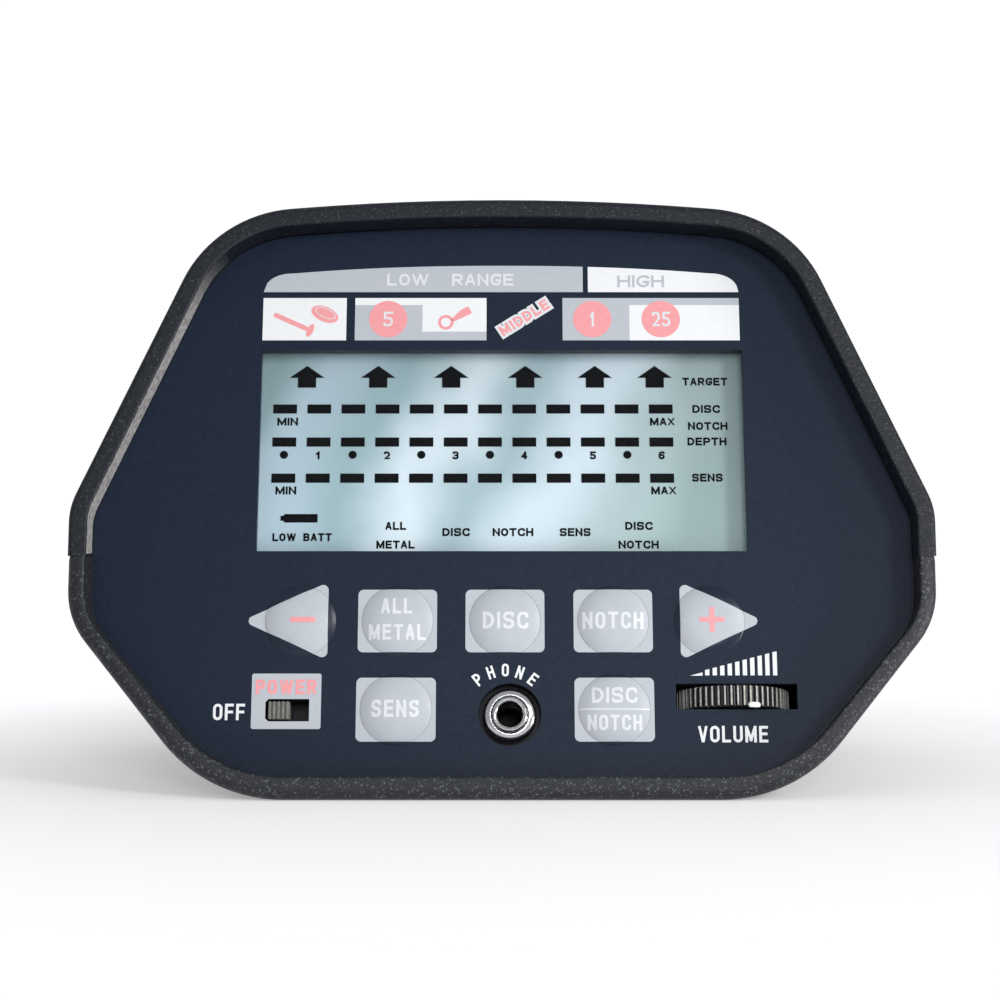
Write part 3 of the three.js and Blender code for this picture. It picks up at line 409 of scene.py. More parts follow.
def words(text, at, width, height, low, high, weight=0.2, angle=0.0, gap=0.15):
    """Words of this width and cap height about a point, between two levels.

    weight is a stroke's share of the height, and gap the space between letters, as a share of it too."""
    half = height * weight / 2
    share = sum(BREADTHS.get(g, 1.0) for g in text)
    fixed = len(text) * 2 * half + (len(text) - 1) * gap * height
    breadth = (width - fixed) / max(share, 0.01)
    shapes = []
    x = -width / 2
    for glyph in text:
        own = breadth * BREADTHS.get(glyph, 1.0)
        strokes = letter(glyph, own, height, half)
        if strokes:
            loops = [loop for stroke in strokes for loop in stroke]
            keep = lambda p, strokes=strokes: any(sum(inside(p, l) for l in s) % 2 for s in strokes)
            lift = OVERLAP_LIFT * (len(shapes) % 2) if gap < 0 else 0
            shapes.append(shifted(plate(loops, low, high + lift, keep), x, -height / 2, 0))
        x += own + 2 * half + gap * height
    turned = moved(together(*shapes), Matrix.Rotation(angle, 4, "Z"))
    return shifted(turned, at[0], at[1], 0)


# ---- pieces ----

SHARP_ANGLE = math.radians(35)


def dressed(name, mesh, looks, body, nodes, base):
    """A piece made of a mesh: its materials, its body, and the CAD nodes it stands for."""
    for look in looks:
        mesh.materials.append(look)
    mesh.shade_smooth()
    mesh.set_sharp_from_angle(angle=SHARP_ANGLE)
    made = placed(name, mesh)
    made.matrix_world = base
    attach(made, body)
    if nodes:
        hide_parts(*nodes)
    return made


def piece(name, shape, material, body="housing", nodes=(), base=WORLD):
    """One object of the scene, from a shape in millimetres."""
    mesh = bpy.data.meshes.new(name)
    work = to_bmesh(shape)
    bmesh.ops.scale(work, vec=(MM, MM, MM), verts=work.verts)
    work.to_mesh(mesh)
    work.free()
    made = dressed(name, mesh, [material], body, nodes, base)
    made.modifiers.new("normals", "WEIGHTED_NORMAL").keep_sharp = True


# ---- materials ----


def feed(tree, node, inputs):
    """Sets each input to a constant, or links a socket to it."""
    for key, value in inputs.items():
        if isinstance(value, bpy.types.NodeSocket):
            tree.links.new(value, node.inputs[key])
        else:
            node.inputs[key].default_value = value
    return node.outputs


def add(tree, kind, inputs, **settings):
    """A new node's outputs."""
    node = tree.nodes.new("ShaderNode" + kind)
    for key, value in settings.items():
        setattr(node, key, value)
    return feed(tree, node, inputs)


def mapped(tree, value, start, end=(0, 1), **settings):
    """A value, with the range start laid onto the range end."""
    inputs = {"Value": value, "From Min": start[0], "From Max": start[1], "To Min": end[0], "To Max": end[1]}
    return add(tree, "MapRange", inputs, **settings)["Result"]


def mixed(tree, factor, first, second):
    return add(tree, "Mix", {"Factor": factor, "A": first, "B": second}, data_type="RGBA")["Result"]


def place_in(tree):
    return add(tree, "TexCoord", {})["Object"]


def surface(name, dark, light, grain, rough, bump=0.0, bump_grain=None, fleck=None, stretch=(1, 1, 1),
            metallic=0.0, specular=0.5, alpha=1.0):
    """Plastic, metal or paint: its colour and roughness wander at one grain, and its bumps at another.

    grain and bump_grain are the sizes of a patch in millimetres, bump its height, and fleck is
    (size, share, colour) of small specks."""
    material = bpy.data.materials.new(name)
    material.use_nodes = True
    tree = material.node_tree
    place = add(tree, "Mapping", {"Scale": stretch, "Vector": place_in(tree)})["Vector"]

    def noise(size, detail=2.0):
        return add(tree, "TexNoise", {"Scale": 1 / (size * MM), "Detail": detail, "Vector": place})["Fac"]

    ramp = tree.nodes.new("ShaderNodeValToRGB")
    for stop, position, tone in zip(ramp.color_ramp.elements, (0.3, 0.7), (dark, light)):
        stop.position, stop.color = position, (*tone, 1)
    colour = feed(tree, ramp, {"Fac": noise(grain, 3.0)})["Color"]
    if fleck:
        size, share, bright = fleck
        cells = add(tree, "TexVoronoi", {"Scale": 1 / (size * MM), "Vector": place})["Color"]
        chance = add(tree, "SeparateColor", {"Color": cells})["Red"]
        colour = mixed(tree, mapped(tree, chance, (1 - share, 1 - share / 2)), colour, (*bright, 1))
    inputs = {"Base Color": colour, "Roughness": mapped(tree, noise(grain * 0.7), (0, 1), rough),
              "Metallic": metallic, "Specular IOR Level": specular, "Alpha": alpha}
    if bump:
        relief = {"Distance": bump * MM, "Strength": 1.0, "Height": noise(bump_grain or grain)}
        inputs["Normal"] = add(tree, "Bump", relief)["Normal"]
    feed(tree, tree.nodes["Principled BSDF"], inputs)
    return material


def recoloured(material, change):
    """The material, with its colour socket passed through a change."""
    tree = material.node_tree
    shader = tree.nodes["Principled BSDF"]
    feed(tree, shader, {"Base Color": change(tree, shader.inputs["Base Color"].links[0].from_socket)})
    return material


PAINTED_REFLECTION_STREAKS = [  # painted reflection streaks: place across the display and colour there, at mid height
    (0.00, (0.28, 0.43, 0.46)), (0.12, (0.48, 0.64, 0.74)), (0.27, (0.34, 0.51, 0.56)),
    (0.40, (0.76, 0.90, 0.99)), (0.53, (0.40, 0.56, 0.62)), (0.66, (0.70, 0.85, 0.95)),
    (0.83, (0.43, 0.57, 0.59)), (1.00, (0.34, 0.48, 0.48)),
]


STREAK_LEAN = -0.42  # how far the painted reflection streaks shift across for each step up
STREAK_WAVER = 0.02


def painted_reflections_and_top_shade(tree, colour):
    """Painted reflections as soft light streaks that lean to the right, and painted shade along a darker
    upper edge.
    """
    place = place_in(tree)
    split = add(tree, "SeparateXYZ", {"Vector": place})
    waves = add(tree, "TexNoise", {"Scale": 45, "Vector": place})["Fac"]
    across = split["X"]
    for value, factor in ((split["Y"], STREAK_LEAN), (waves, STREAK_WAVER)):
        across = add(tree, "Math", {0: value, 1: factor, 2: across}, operation="MULTIPLY_ADD")[0]
    ramp = tree.nodes.new("ShaderNodeValToRGB")
    stops = ramp.color_ramp.elements
    ramp.color_ramp.interpolation = "EASE"
    for k, (position, tone) in enumerate(PAINTED_REFLECTION_STREAKS):
        stop = stops[k] if k < 2 else stops.new(position)
        stop.position, stop.color = position, (*tone, 1)
    streaks = feed(tree, ramp, {"Fac": mapped(tree, across, (-0.041, 0.047))})["Color"]
    # painted shade: the display darkens toward its upper edge
    shade = mapped(tree, split["Y"], (-0.007, 0.028), (1.12, 0.82))
    inputs = {0: mixed(tree, 0.9, colour, streaks), "Scale": shade}
    return add(tree, "VectorMath", inputs, operation="SCALE")["Vector"]


def highlight_faded(tree, colour):
    """The painted highlight's colour, darkening toward the wall strip's upper end."""
    height = add(tree, "SeparateXYZ", {"Vector": place_in(tree)})["Z"]
    fade = mapped(tree, height, (0.079, 0.093), interpolation_type="SMOOTHSTEP")
    return mixed(tree, fade, colour, (0.008, 0.010, 0.014, 1))


# The display glass's colour holds painted reflection streaks and painted shade along its top.
DISPLAY = recoloured(surface("display_glass", (0.38, 0.50, 0.53), (0.42, 0.54, 0.57), 0.9, (0.28, 0.36),
                             specular=0.3), painted_reflections_and_top_shade)
# A painted highlight: a bright strip of colour on the recess's upper left wall, standing in for light that
# catches it.
PAINTED_WALL_SHEEN = recoloured(surface("painted_wall_highlight", (0.11, 0.11, 0.12), (0.60, 0.59, 0.575), 0.35, (0.3, 0.45),
                           bump=0.03, stretch=(1, 1, 0.3), specular=0.4), highlight_faded)
# The shell's flecks are partly its grained texture and partly painted glints.
SHELL = surface("shell_plastic", (0.004, 0.006, 0.011), (0.010, 0.013, 0.019), 0.5, (0.32, 0.46), bump=0.10,
                bump_grain=0.26, fleck=(0.28, 0.08, (0.040, 0.043, 0.049)), specular=0.30)
# Painted light: the lower shell's plastic is a lighter copy of the shell's, with brighter flecks as painted
# glints, where the lower rim catches the lamps. The battery doors use it too.
LOWER_SHELL_PAINTED_LIGHT = surface("lower_shell_plastic_painted_light", (0.012, 0.014, 0.019), (0.024, 0.026, 0.032), 0.5, (0.32, 0.46),
                      bump=0.10, bump_grain=0.26, fleck=(0.28, 0.12, (0.085, 0.090, 0.099)), specular=0.30)
PANEL = surface("panel_plastic", (0.010, 0.012, 0.018), (0.016, 0.019, 0.027), 0.9, (0.45, 0.6), bump=0.02)
FILM = surface("label_film", (0.0045, 0.0110, 0.028), (0.0070, 0.0150, 0.034), 1.2, (0.40, 0.50), bump=0.008,
               bump_grain=0.3, fleck=(0.22, 0.04, (0.012, 0.020, 0.039)), specular=0.17)
KEY_FILM = surface("key_film", (0.0045, 0.0110, 0.028), (0.0070, 0.0150, 0.034), 1.2, (0.28, 0.36),
                   bump=0.006, bump_grain=0.3, specular=0.4)
PRINT_GREY = surface("print_grey", (0.475, 0.505, 0.555), (0.495, 0.525, 0.575), 1.1, (0.36, 0.44),
                     bump=0.004, specular=0.35)
PRINT_WHITE = surface("print_white", (0.82, 0.84, 0.86), (0.85, 0.87, 0.89), 1.1, (0.4, 0.5), bump=0.004)
PRINT_PALE = surface("print_pale", (0.70, 0.73, 0.76), (0.74, 0.77, 0.80), 1.1, (0.4, 0.5), bump=0.004)
PRINT_PINK = surface("print_pink", (0.85, 0.32, 0.34), (0.89, 0.35, 0.37), 1.1, (0.4, 0.5), bump=0.004)
CLEAR = surface("clear_plastic", (0.05, 0.06, 0.07), (0.08, 0.09, 0.10), 6.0, (0.03, 0.08), alpha=0.03,
                specular=0.4)
SEGMENT = surface("display_segment", (0.001, 0.001, 0.002), (0.003, 0.003, 0.004), 0.5, (0.5, 0.6),
                  specular=0.05)
NICKEL = surface("nickel", (0.50, 0.51, 0.52), (0.66, 0.66, 0.67), 0.9, (0.12, 0.26), bump=0.012,
                 bump_grain=0.4, metallic=1.0)
STEEL = surface("steel", (0.36, 0.37, 0.38), (0.50, 0.51, 0.52), 1.4, (0.28, 0.45), bump=0.01, metallic=1.0)
BRASS = surface("brass", (0.52, 0.36, 0.13), (0.66, 0.47, 0.19), 0.7, (0.22, 0.4), bump=0.01, metallic=1.0)
BLACK = surface("black_plastic", (0.005, 0.006, 0.008), (0.010, 0.011, 0.013), 0.7, (0.35, 0.5), bump=0.02,
                bump_grain=0.3, specular=0.22)
RUBBER = surface("rubber", (0.018, 0.018, 0.020), (0.034, 0.034, 0.037), 0.6, (0.7, 0.85), bump=0.03)
BOARD = surface("circuit_board", (0.010, 0.060, 0.028), (0.020, 0.105, 0.045), 2.2, (0.3, 0.5), bump=0.03,
                fleck=(1.3, 0.12, (0.30, 0.26, 0.12)))
KNOB = surface("knob_plastic", (0.13, 0.13, 0.12), (0.22, 0.215, 0.19), 0.6, (0.35, 0.5), bump=0.02,
               bump_grain=0.3)
WHEEL_RIB = surface("wheel_plastic", (0.010, 0.011, 0.014), (0.022, 0.023, 0.026), 0.5, (0.25, 0.38),
                    bump=0.01)
# Painted highlight: a pale colour along the wheel's rib crests, standing in for light that catches them.
RIB_HIGHLIGHT = surface("rib_crest_painted_highlight", (0.34, 0.33, 0.30), (0.60, 0.58, 0.53), 0.5, (0.3, 0.42), bump=0.01)
BATTERY = surface("battery_jacket", (0.10, 0.12, 0.14), (0.16, 0.18, 0.20), 3.0, (0.25, 0.4), bump=0.02,
                  metallic=0.6)
PAPER = surface("paper_cone", (0.030, 0.029, 0.028), (0.060, 0.058, 0.055), 0.5, (0.8, 0.95), bump=0.08,
                stretch=(1, 1, 0.4))
LEAD = surface("lead_sleeve", (0.20, 0.010, 0.010), (0.30, 0.020, 0.018), 1.0, (0.35, 0.5), bump=0.01)
RIBBON = surface("flat_cable", (0.30, 0.31, 0.33), (0.46, 0.47, 0.49), 1.2, (0.4, 0.55), bump=0.04,
                 stretch=(6, 0.2, 0.2))

# ---- the housing's outline, as in the CAD part ----

CORNERS = [  # u, v, fillet, steps of the arc
    (48.1, -51.75, 26, 18),
    (72.6, -21.75, 14.5, 10),
    (73, -2.45, 12, 8),
    (50.1, 50.25, 22, 16),
    (0, 54.4, 420, 12),
    (-50.1, 50.25, 22, 16),
    (-73, -2.45, 12, 8),
    (-72.6, -21.75, 14.5, 10),
    (-48.1, -51.75, 26, 18),
]
RECESS = 5
DRAFT = 3
WALL = 2.5
REAR_WALL = 3.5
REAR_ROUND = 5
UPPER_RIM, LOWER_RIM = 3.2, 3.0
FLOOR_LIFT = 1.1  # the rim is this much wider along the base
RIM_ROUND = 0.4  # rounding of the rim's inner edge
UPPER_EDGE, LOWER_EDGE = 0.9, 2.2
SEAM, SEAM_GAP = 39.6, 0.05
REVEAL_DEPTH, REVEAL_HEIGHT = 0.45, 1.6
GROOVE = 1.9  # inset of the panel's edge
LEDGE_INSET = 1.8
LEVELS = {"groove": 0.15, "panel_back": -2.6, "ledge_back": -4.75, "cavity": -4.6}
REAR = reach("upper_shell")[1].y


def outline(inset, lift=0.0):
    """Points round the housing, anticlockwise, drawn inset inside its full size."""
    corners = [(u, v + lift if v < -50 else v, radius, steps) for u, v, radius, steps in CORNERS]
    points = []
    for i, (u, v, radius, steps) in enumerate(corners):
        before, after = corners[i - 1], corners[(i + 1) % len(corners)]
        entering = math.atan2(v - before[1], u - before[0])
        leaving = math.atan2(after[1] - v, after[0] - u)
        turn = (leaving - entering) % TAU
        tangent = radius * math.tan(turn / 2)
        centre_u = u - tangent * math.cos(entering) - radius * math.sin(entering)
        centre_v = v - tangent * math.sin(entering) + radius * math.cos(entering)
        for k in range(steps + 1):
            angle = entering - math.pi / 2 + turn * k / steps
            points.append(around((centre_u, centre_v), radius - inset, angle))
    return points


def face_ring(inset, level):
    """The outline on the panel's side of the housing, at a level out of the panel."""
    return [tuple(TURN @ Vector((u, v, level)) + ORIGIN) for u, v in outline(inset, FLOOR_LIFT)]


def body_ring(inset, taper, depth):
    """The outline closed in by inset, then by a taper that leaves the base level.

    depth(y) is where it lies, for a rim that is at y."""
    ring = []
    for u, v in outline(inset + taper):
        rim = v * SIN - RECESS * COS + ORIGIN.y
        height = ORIGIN.z + v * COS + RECESS * SIN - taper * COS
        ring.append((u, depth(rim), height))
    return ring


def outer_rings(edge, inset=0.0, steps=6):
    """The outside of a shell, from its rim's outer edge to its rear face."""
    rings = []
    for angle in quarter(steps):
        closed, back = edge * (1 - math.sin(angle)), edge * (1 - math.cos(angle))
        rings.append(body_ring(inset + closed, 0, lambda y, b=back: y + b))
    for angle in quarter(steps):
        closed = REAR_ROUND * (1 - math.cos(angle))
        level = REAR - inset - REAR_ROUND + REAR_ROUND * math.sin(angle)
        rings.append(body_ring(inset + closed, DRAFT, lambda y, d=level: d))
    return rings


def inner_rings(rim):
    """The inside of a shell, from its rear wall to its rim's inner edge."""
    rear = REAR - REAR_WALL
    round_inside = REAR_ROUND - WALL
    rings = []
    for angle in reversed(quarter(3)):
        closed = round_inside * (1 - math.cos(angle))
        level = rear - round_inside + round_inside * math.sin(angle)
        rings.append(body_ring(WALL + closed, DRAFT, lambda y, d=level: d))
    setback = (RECESS - LEVELS["cavity"]) / COS
    rings.append(body_ring(WALL, 0, lambda y: y + setback))
    steps = [(rim + LEDGE_INSET, "ledge_back"), (rim + LEDGE_INSET, "panel_back"), (GROOVE, "panel_back"),
             (GROOVE, "groove"), (rim, "groove")]
    rings += [face_ring(inset, LEVELS[level]) for inset, level in steps]
    for angle in quarter(4):
        inset, level = rim - RIM_ROUND * (1 - math.cos(angle)), RECESS - RIM_ROUND * (1 - math.sin(angle))
        rings.append(face_ring(inset, level))
    return rings


def skin(rings, capped=True):
    """A solid over rings, with the first and the last closed by flat faces, or the two joined."""
    count = len(rings[0])
    points = [point for ring in rings for point in ring]
    indices = [list(range(k * count, (k + 1) * count)) for k in range(len(rings))]
    faces = between(indices, not capped)
    if capped:
        faces += [indices[0][::-1], indices[-1]]
    return points, faces


def shell_skin(edge, rim, low, high):
    """One shell between two heights: rear face, sides, rim, recess, ledge and cavity."""
    rings = outer_rings(edge)[::-1] + inner_rings(rim)[::-1]
    return common(skin(rings), slab((-FAR, -FAR, low), (FAR, FAR, high)))


def within(shape, edge):
    """What of a shape lies inside the housing."""
    return common(shape, skin(outer_rings(edge, 0.3, 4)))


FAR = 130
UPPER_SEAM, LOWER_SEAM = SEAM + SEAM_GAP / 2, SEAM - SEAM_GAP / 2


SCREWS = [(u, y) for u in (-47.55, 47.55) for y in (-7.645, 24.355)]
BOSS_RADIUS, BOSS_TOP = 3.6, 60
POST_RADIUS = 4.6
PILOT_RADIUS = 1.7
HEAD_BORE, HEAD_DEPTH = 3.1, 11.75  # the hole that a screw's head lies in
SPEAKER_Z = 67
GRILLE = {"slots": 7, "pitch": 4.6, "width": 2.2, "reach": 17}


def grille_slot(i):
    x = (i - (GRILLE["slots"] - 1) / 2) * GRILLE["pitch"]
    half = math.sqrt(GRILLE["reach"] ** 2 - x * x)
    width = GRILLE["width"] / 2
    loop = rounded(rectangle(-width, width, -half, half), width - 0.01, 8)
    shape = moved(plate([loop], -6, 6), Matrix.Rotation(math.pi / 2, 4, "X"))
    return shifted(shape, x, REAR, SPEAKER_Z)


def upper_shell():
    half = shell_skin(UPPER_EDGE, UPPER_RIM, UPPER_SEAM, FAR)
    bosses = []
    for x, y in SCREWS:
        near, far = sorted((x, math.copysign(74, x)))
        post = rod("z", (x, y), UPPER_SEAM, BOSS_TOP, BOSS_RADIUS)
        rib = slab((near, y - 1, UPPER_SEAM), (far, y + 1, BOSS_TOP))
        bosses.append(within(joined(post, [rib]), UPPER_EDGE))
    pilots = [rod("z", at, SEAM - 12, BOSS_TOP - 3, PILOT_RADIUS, segments=20) for at in SCREWS]
    slots = [grille_slot(i) for i in range(GRILLE["slots"])]
    return cut(joined(half, bosses), pilots + slots)


FIT = 0.3
WELL_WALL = 1.2
DOOR_MARGIN = 2.45
DOOR_POCKET = 2.1
STEM_RADIUS, STEM_WALL, STEM_LENGTH = 11.3, 2.4, 46
SOCKET_Z = 25.5
SIDES = ("left", "right")


def inserts():
    """The middles of the two inserts that hold the stem."""
    return [sum(reach("stem_insert_" + end), Vector()) / 2 for end in ("front", "rear")]


def lower_inside():
    """The wells, the stem's cradle and the screw posts, which stand inside the lower shell."""
    solids = []
    for side in SIDES:
        low, high = reach("battery_" + side)
        grow = FIT + WELL_WALL
        start = (low.x - grow, low.y + 4.1, low.z - grow)
        solids.append(slab(start, (high.x + grow, REAR - 1, high.z + grow)))
    front = REAR - STEM_LENGTH
    cradle = rod("y", (0, 0), front - STEM_WALL, REAR - 1, STEM_RADIUS + STEM_WALL, segments=64)
    solids.append(common(cradle, slab((-20, front - 10, 0.5), (20, REAR + 10, 20))))
    for point in inserts():
        solids.append(rod("z", (0, point.y), STEM_RADIUS - 2, STEM_RADIUS + STEM_WALL + 2.5, 4.4))
    solids += [rod("z", at, 0.4, LOWER_SEAM, POST_RADIUS) for at in SCREWS]
    return within(joined(solids[0], solids[1:]), LOWER_EDGE)


def reveal(side):
    """A wedge along one side that takes the lower shell's upper edge off."""
    rim = max(u for u, _ in outline(0))
    front = SEAM * math.tan(RAKE) - 39
    edges = [(-60, rim), (front, rim), (REAR - REAR_ROUND, rim - DRAFT), (REAR + 5, rim - DRAFT - 0.3)]
    low = SEAM - REVEAL_HEIGHT
    sections = []
    for y, edge in edges:
        corners = [(edge - REVEAL_DEPTH, SEAM), (edge + 0.02, low), (edge + 3, low), (edge + 3, SEAM)]
        sections.append([(side * x, y, z) for x, z in corners])
    return skin(sections)


def lower_cuts():
    cuts = [rod("y", (0, 0), REAR - STEM_LENGTH, REAR + 12, STEM_RADIUS, segments=64)]
    cuts.append(rod("y", (0, SOCKET_Z), REAR - 12, REAR + 12, 7.3, segments=48))
    for side in SIDES:
        low, high = reach("battery_" + side)
        well = slab((low.x - FIT, low.y + 2, low.z - FIT), (high.x + FIT, REAR + 12, high.z + FIT))
        grow = DOOR_MARGIN + FIT
        start = (low.x - grow, REAR - DOOR_POCKET, low.z - grow)
        pocket = slab(start, (high.x + grow, REAR + 12, high.z + grow), 0.5)
        cuts += [well, pocket]
    for at in SCREWS:
        cuts.append(rod("z", at, -12, HEAD_DEPTH, HEAD_BORE, segments=32))
        cuts.append(rod("z", at, -12, SEAM + 12, PILOT_RADIUS, segments=20))
    cuts += [rod("z", (0, point.y), 0, 30, 2.75, segments=28) for point in inserts()]
    cuts += [reveal(side) for side in (-1, 1)]
    return cuts


def hinge_of(side):
    return Vector(JOINTS["battery_door_" + side + "_hinge"]["pos_m"]) / MM


def hinge_ears(side):
    x, y, z = hinge_of(side)
    ears = []
    for way in (-1, 1):
        inner = x + way * 7.3
        ends = sorted((inner, inner + way * 2.2))
        eye = rod("x", (y, z), ends[0], ends[1], 1.9, 0.25)
        foot = slab((ends[0], REAR - 1, z - 0.9), (ends[1], y, z + 1.9))
        hole = rod("x", (y, z), ends[0] - 1, ends[1] + 1, 0.95, segments=24)
        ears.append(cut(joined(eye, [foot]), [hole]))
    return ears


def lower_shell():
    half = shell_skin(LOWER_EDGE, LOWER_RIM, -FAR, LOWER_SEAM)
    body = cut(joined(half, [lower_inside()]), lower_cuts())
    return joined(body, [ear for side in SIDES for ear in hinge_ears(side)])


def wall_sheen():
    """A painted highlight on the recess's upper left wall: a bright strip, a hair proud of it."""
    inner, outer = UPPER_RIM + 0.05, UPPER_RIM - 0.15
    low, high = 0.3, RECESS - RIM_ROUND
    corners = [(outer, low), (outer, high), (inner, high), (inner, low)]
    ring = skin([face_ring(inset, level) for inset, level in corners], capped=False)
    return common(ring, slab((-76, -FAR, SEAM + 0.4), (-48, FAR, 93)))


piece("upper_shell_wall_sheen", wall_sheen(), PAINTED_WALL_SHEEN)
piece("upper_shell_skin", upper_shell(), SHELL, nodes=["upper_shell"])
piece("lower_shell_skin", lower_shell(), LOWER_SHELL_PAINTED_LIGHT, nodes=["lower_shell"])

# ---- the label film, with its openings ----

FILM_INSET = 3.35
FILM_BACK = -0.3
KEY_R = 5.98
KEY_HOLE = 6.0
KEY_RISE = 0.85
PRINT = 0.03  # a print's thickness
KEYS = ["key_minus", "key_all_metal", "key_disc", "key_notch", "key_plus", "key_sens", "key_disc_notch"]
WINDOW = span("display_window")
POWER_OPEN = {"left": -39.445, "right": -32.155, "low": -37.97, "high": -34.23, "chamfer": 0.5}
JACK_AT = (1.3, -36.85)
JACK_HOLE = 5.25
SLOT = {"half": 10.15, "low": -35.95, "high": -31.65}


def key_at(name):
    low, high = span(name)
    return ((low.x + high.x) / 2, (low.y + high.y) / 2)


def power_opening():
    o = POWER_OPEN
    c = o["chamfer"]
    return [(o["right"], o["low"]), (o["right"], o["high"]), (o["left"] + c, o["high"]),
            (o["left"], o["high"] - c), (o["left"], o["low"] + c), (o["left"] + c, o["low"])]


def film():
    low, high = WINDOW
    slot = rectangle(WHEEL_AT.x - SLOT["half"], WHEEL_AT.x + SLOT["half"], SLOT["low"], SLOT["high"])
    loops = [outline(FILM_INSET, FLOOR_LIFT), rounded(rectangle(low.x, high.x, low.y, high.y), 0.25, 3),
             power_opening(), ring_of(JACK_AT, JACK_HOLE, 96), slot]
    loops += [ring_of(key_at(name), KEY_HOLE, 96) for name in KEYS]
    return plate(loops, FILM_BACK, 0)


piece("label_film_sheet", film(), FILM, nodes=["panel_overlay"], base=FACE)

# ---- keys: a smooth dome each, with the print's inner part on it ----

KEY_RINGS = [0, 0.15, 0.3, 0.45, 0.58, 0.68, 0.76, 0.82, 0.87, 0.91, 0.94, 0.965, 0.985, 0.995]
KEY_COUNT = 72


def dome(distance):
    """The dome's height at a distance from its middle."""
    share = min(distance / KEY_R, 1)
    return KEY_RISE * (1 - share**3.2) ** 0.9


def key_prints():
    """Each key's printed outline, in the panel's frame."""
    prints = {}
    for name in KEYS:
        u, v = key_at(name)
        loop = rectangle(u - 6.65, u + 6.65, v - 5.35, v + 5.35)
        prints[name] = rounded(loop, 0.9)
    u, v = key_at("key_minus")
    prints["key_minus"] = rounded([(u - 9.9, v), (u + 4.6, v - 6.7), (u + 4.6, v + 6.7)], [0.8, 0.9, 0.9])
    u, v = key_at("key_plus")
    prints["key_plus"] = rounded([(u - 4.9, v + 6.7), (u - 4.9, v - 6.7), (u + 9.2, v)], [0.9, 0.9, 0.8])
    return prints


KEY_PRINTS = key_prints()


def key_dome(name):
    """The dome's skin as two sets of faces: bare film, and print."""
    u, v = key_at(name)
    loops = [ring_of((0, 0), KEY_R * share, KEY_COUNT) for share in KEY_RINGS[1:]]
    edge = ring_of((0, 0), KEY_R, KEY_COUNT)
    outline_here = [(x - u, y - v) for x, y in KEY_PRINTS[name]]
    flat, triangles = filled([*loops, edge, outline_here], keep=lambda p: inside(p, edge))
    points = [(x, y, dome(math.hypot(x, y))) for x, y in flat]
    printed, bare = [], []
    for triangle in triangles:
        middle = [sum(flat[i][k] for i in triangle) / 3 for k in (0, 1)]
        (printed if inside(middle, outline_here) else bare).append(triangle)
    return points, bare, printed


def key_stem(name):
    """The key below its dome: its wall, flange and plunger."""
    bottom = span(name)[0].z
    profile = [(KEY_R, 0), (KEY_R, -2.75), (6.9, -2.75), (6.9, -3.55), (2.2, -3.55), (2.2, bottom),
               (0, bottom)]
    return lathe(profile, KEY_COUNT)


MARK_LEVELS = (-0.5, 0.5)  # a mark's sheet before it is laid on the dome
MARK_SUNK = 0.05  # how far its underside lies in the dome


def on_dome(shape):
    """Marks cut into small facets, so that they lie on the dome, a print's thickness above it."""
    work = to_bmesh(shape)
    for axis in (0, 1):
        for k in range(-7, 8):
            at, normal = Vector((0, 0, 0)), Vector((0, 0, 0))
            at[axis], normal[axis] = k * 0.8, 1
            geometry = work.verts[:] + work.edges[:] + work.faces[:]
            bmesh.ops.bisect_plane(work, geom=geometry, plane_co=at, plane_no=normal)
    for vertex in work.verts:
        x, y, z = vertex.co
        vertex.co.z = dome(math.hypot(x, y)) + (PRINT if z > 0 else -MARK_SUNK)
    return from_bmesh(work)


KEY_WORDS = {  # text, middle across and up from the key's middle, width, height
    "key_all_metal": [("ALL", -0.15, 2.45, 5.3, 2.7), ("METAL", 0.0, -2.0, 9.6, 2.65)],
    "key_disc": [("DISC", 0.1, 0, 7.7, 2.9)],
    "key_notch": [("NOTCH", -0.05, 0, 10.3, 2.9)],
    "key_sens": [("SENS", -0.1, 0.1, 8.0, 2.9)],
    "key_disc_notch": [("DISC", 0, 2.35, 7.6, 2.65), ("NOTCH", 0, -2.25, 9.1, 2.6)],
}


def plus_sign(arm, half):
    return [(arm, -half), (arm, half), (half, half), (half, arm), (-half, arm), (-half, half),
            (-arm, half), (-arm, -half), (-half, -half), (-half, -arm), (half, -arm), (half, -half)]


KEY_SIGNS = {"key_minus": rectangle(-2.1, 2.1, -0.45, 0.45), "key_plus": plus_sign(2.1, 0.42)}
KEY_RULES = {"key_disc_notch": rectangle(-5.95, 5.95, -0.12, 0.12)}


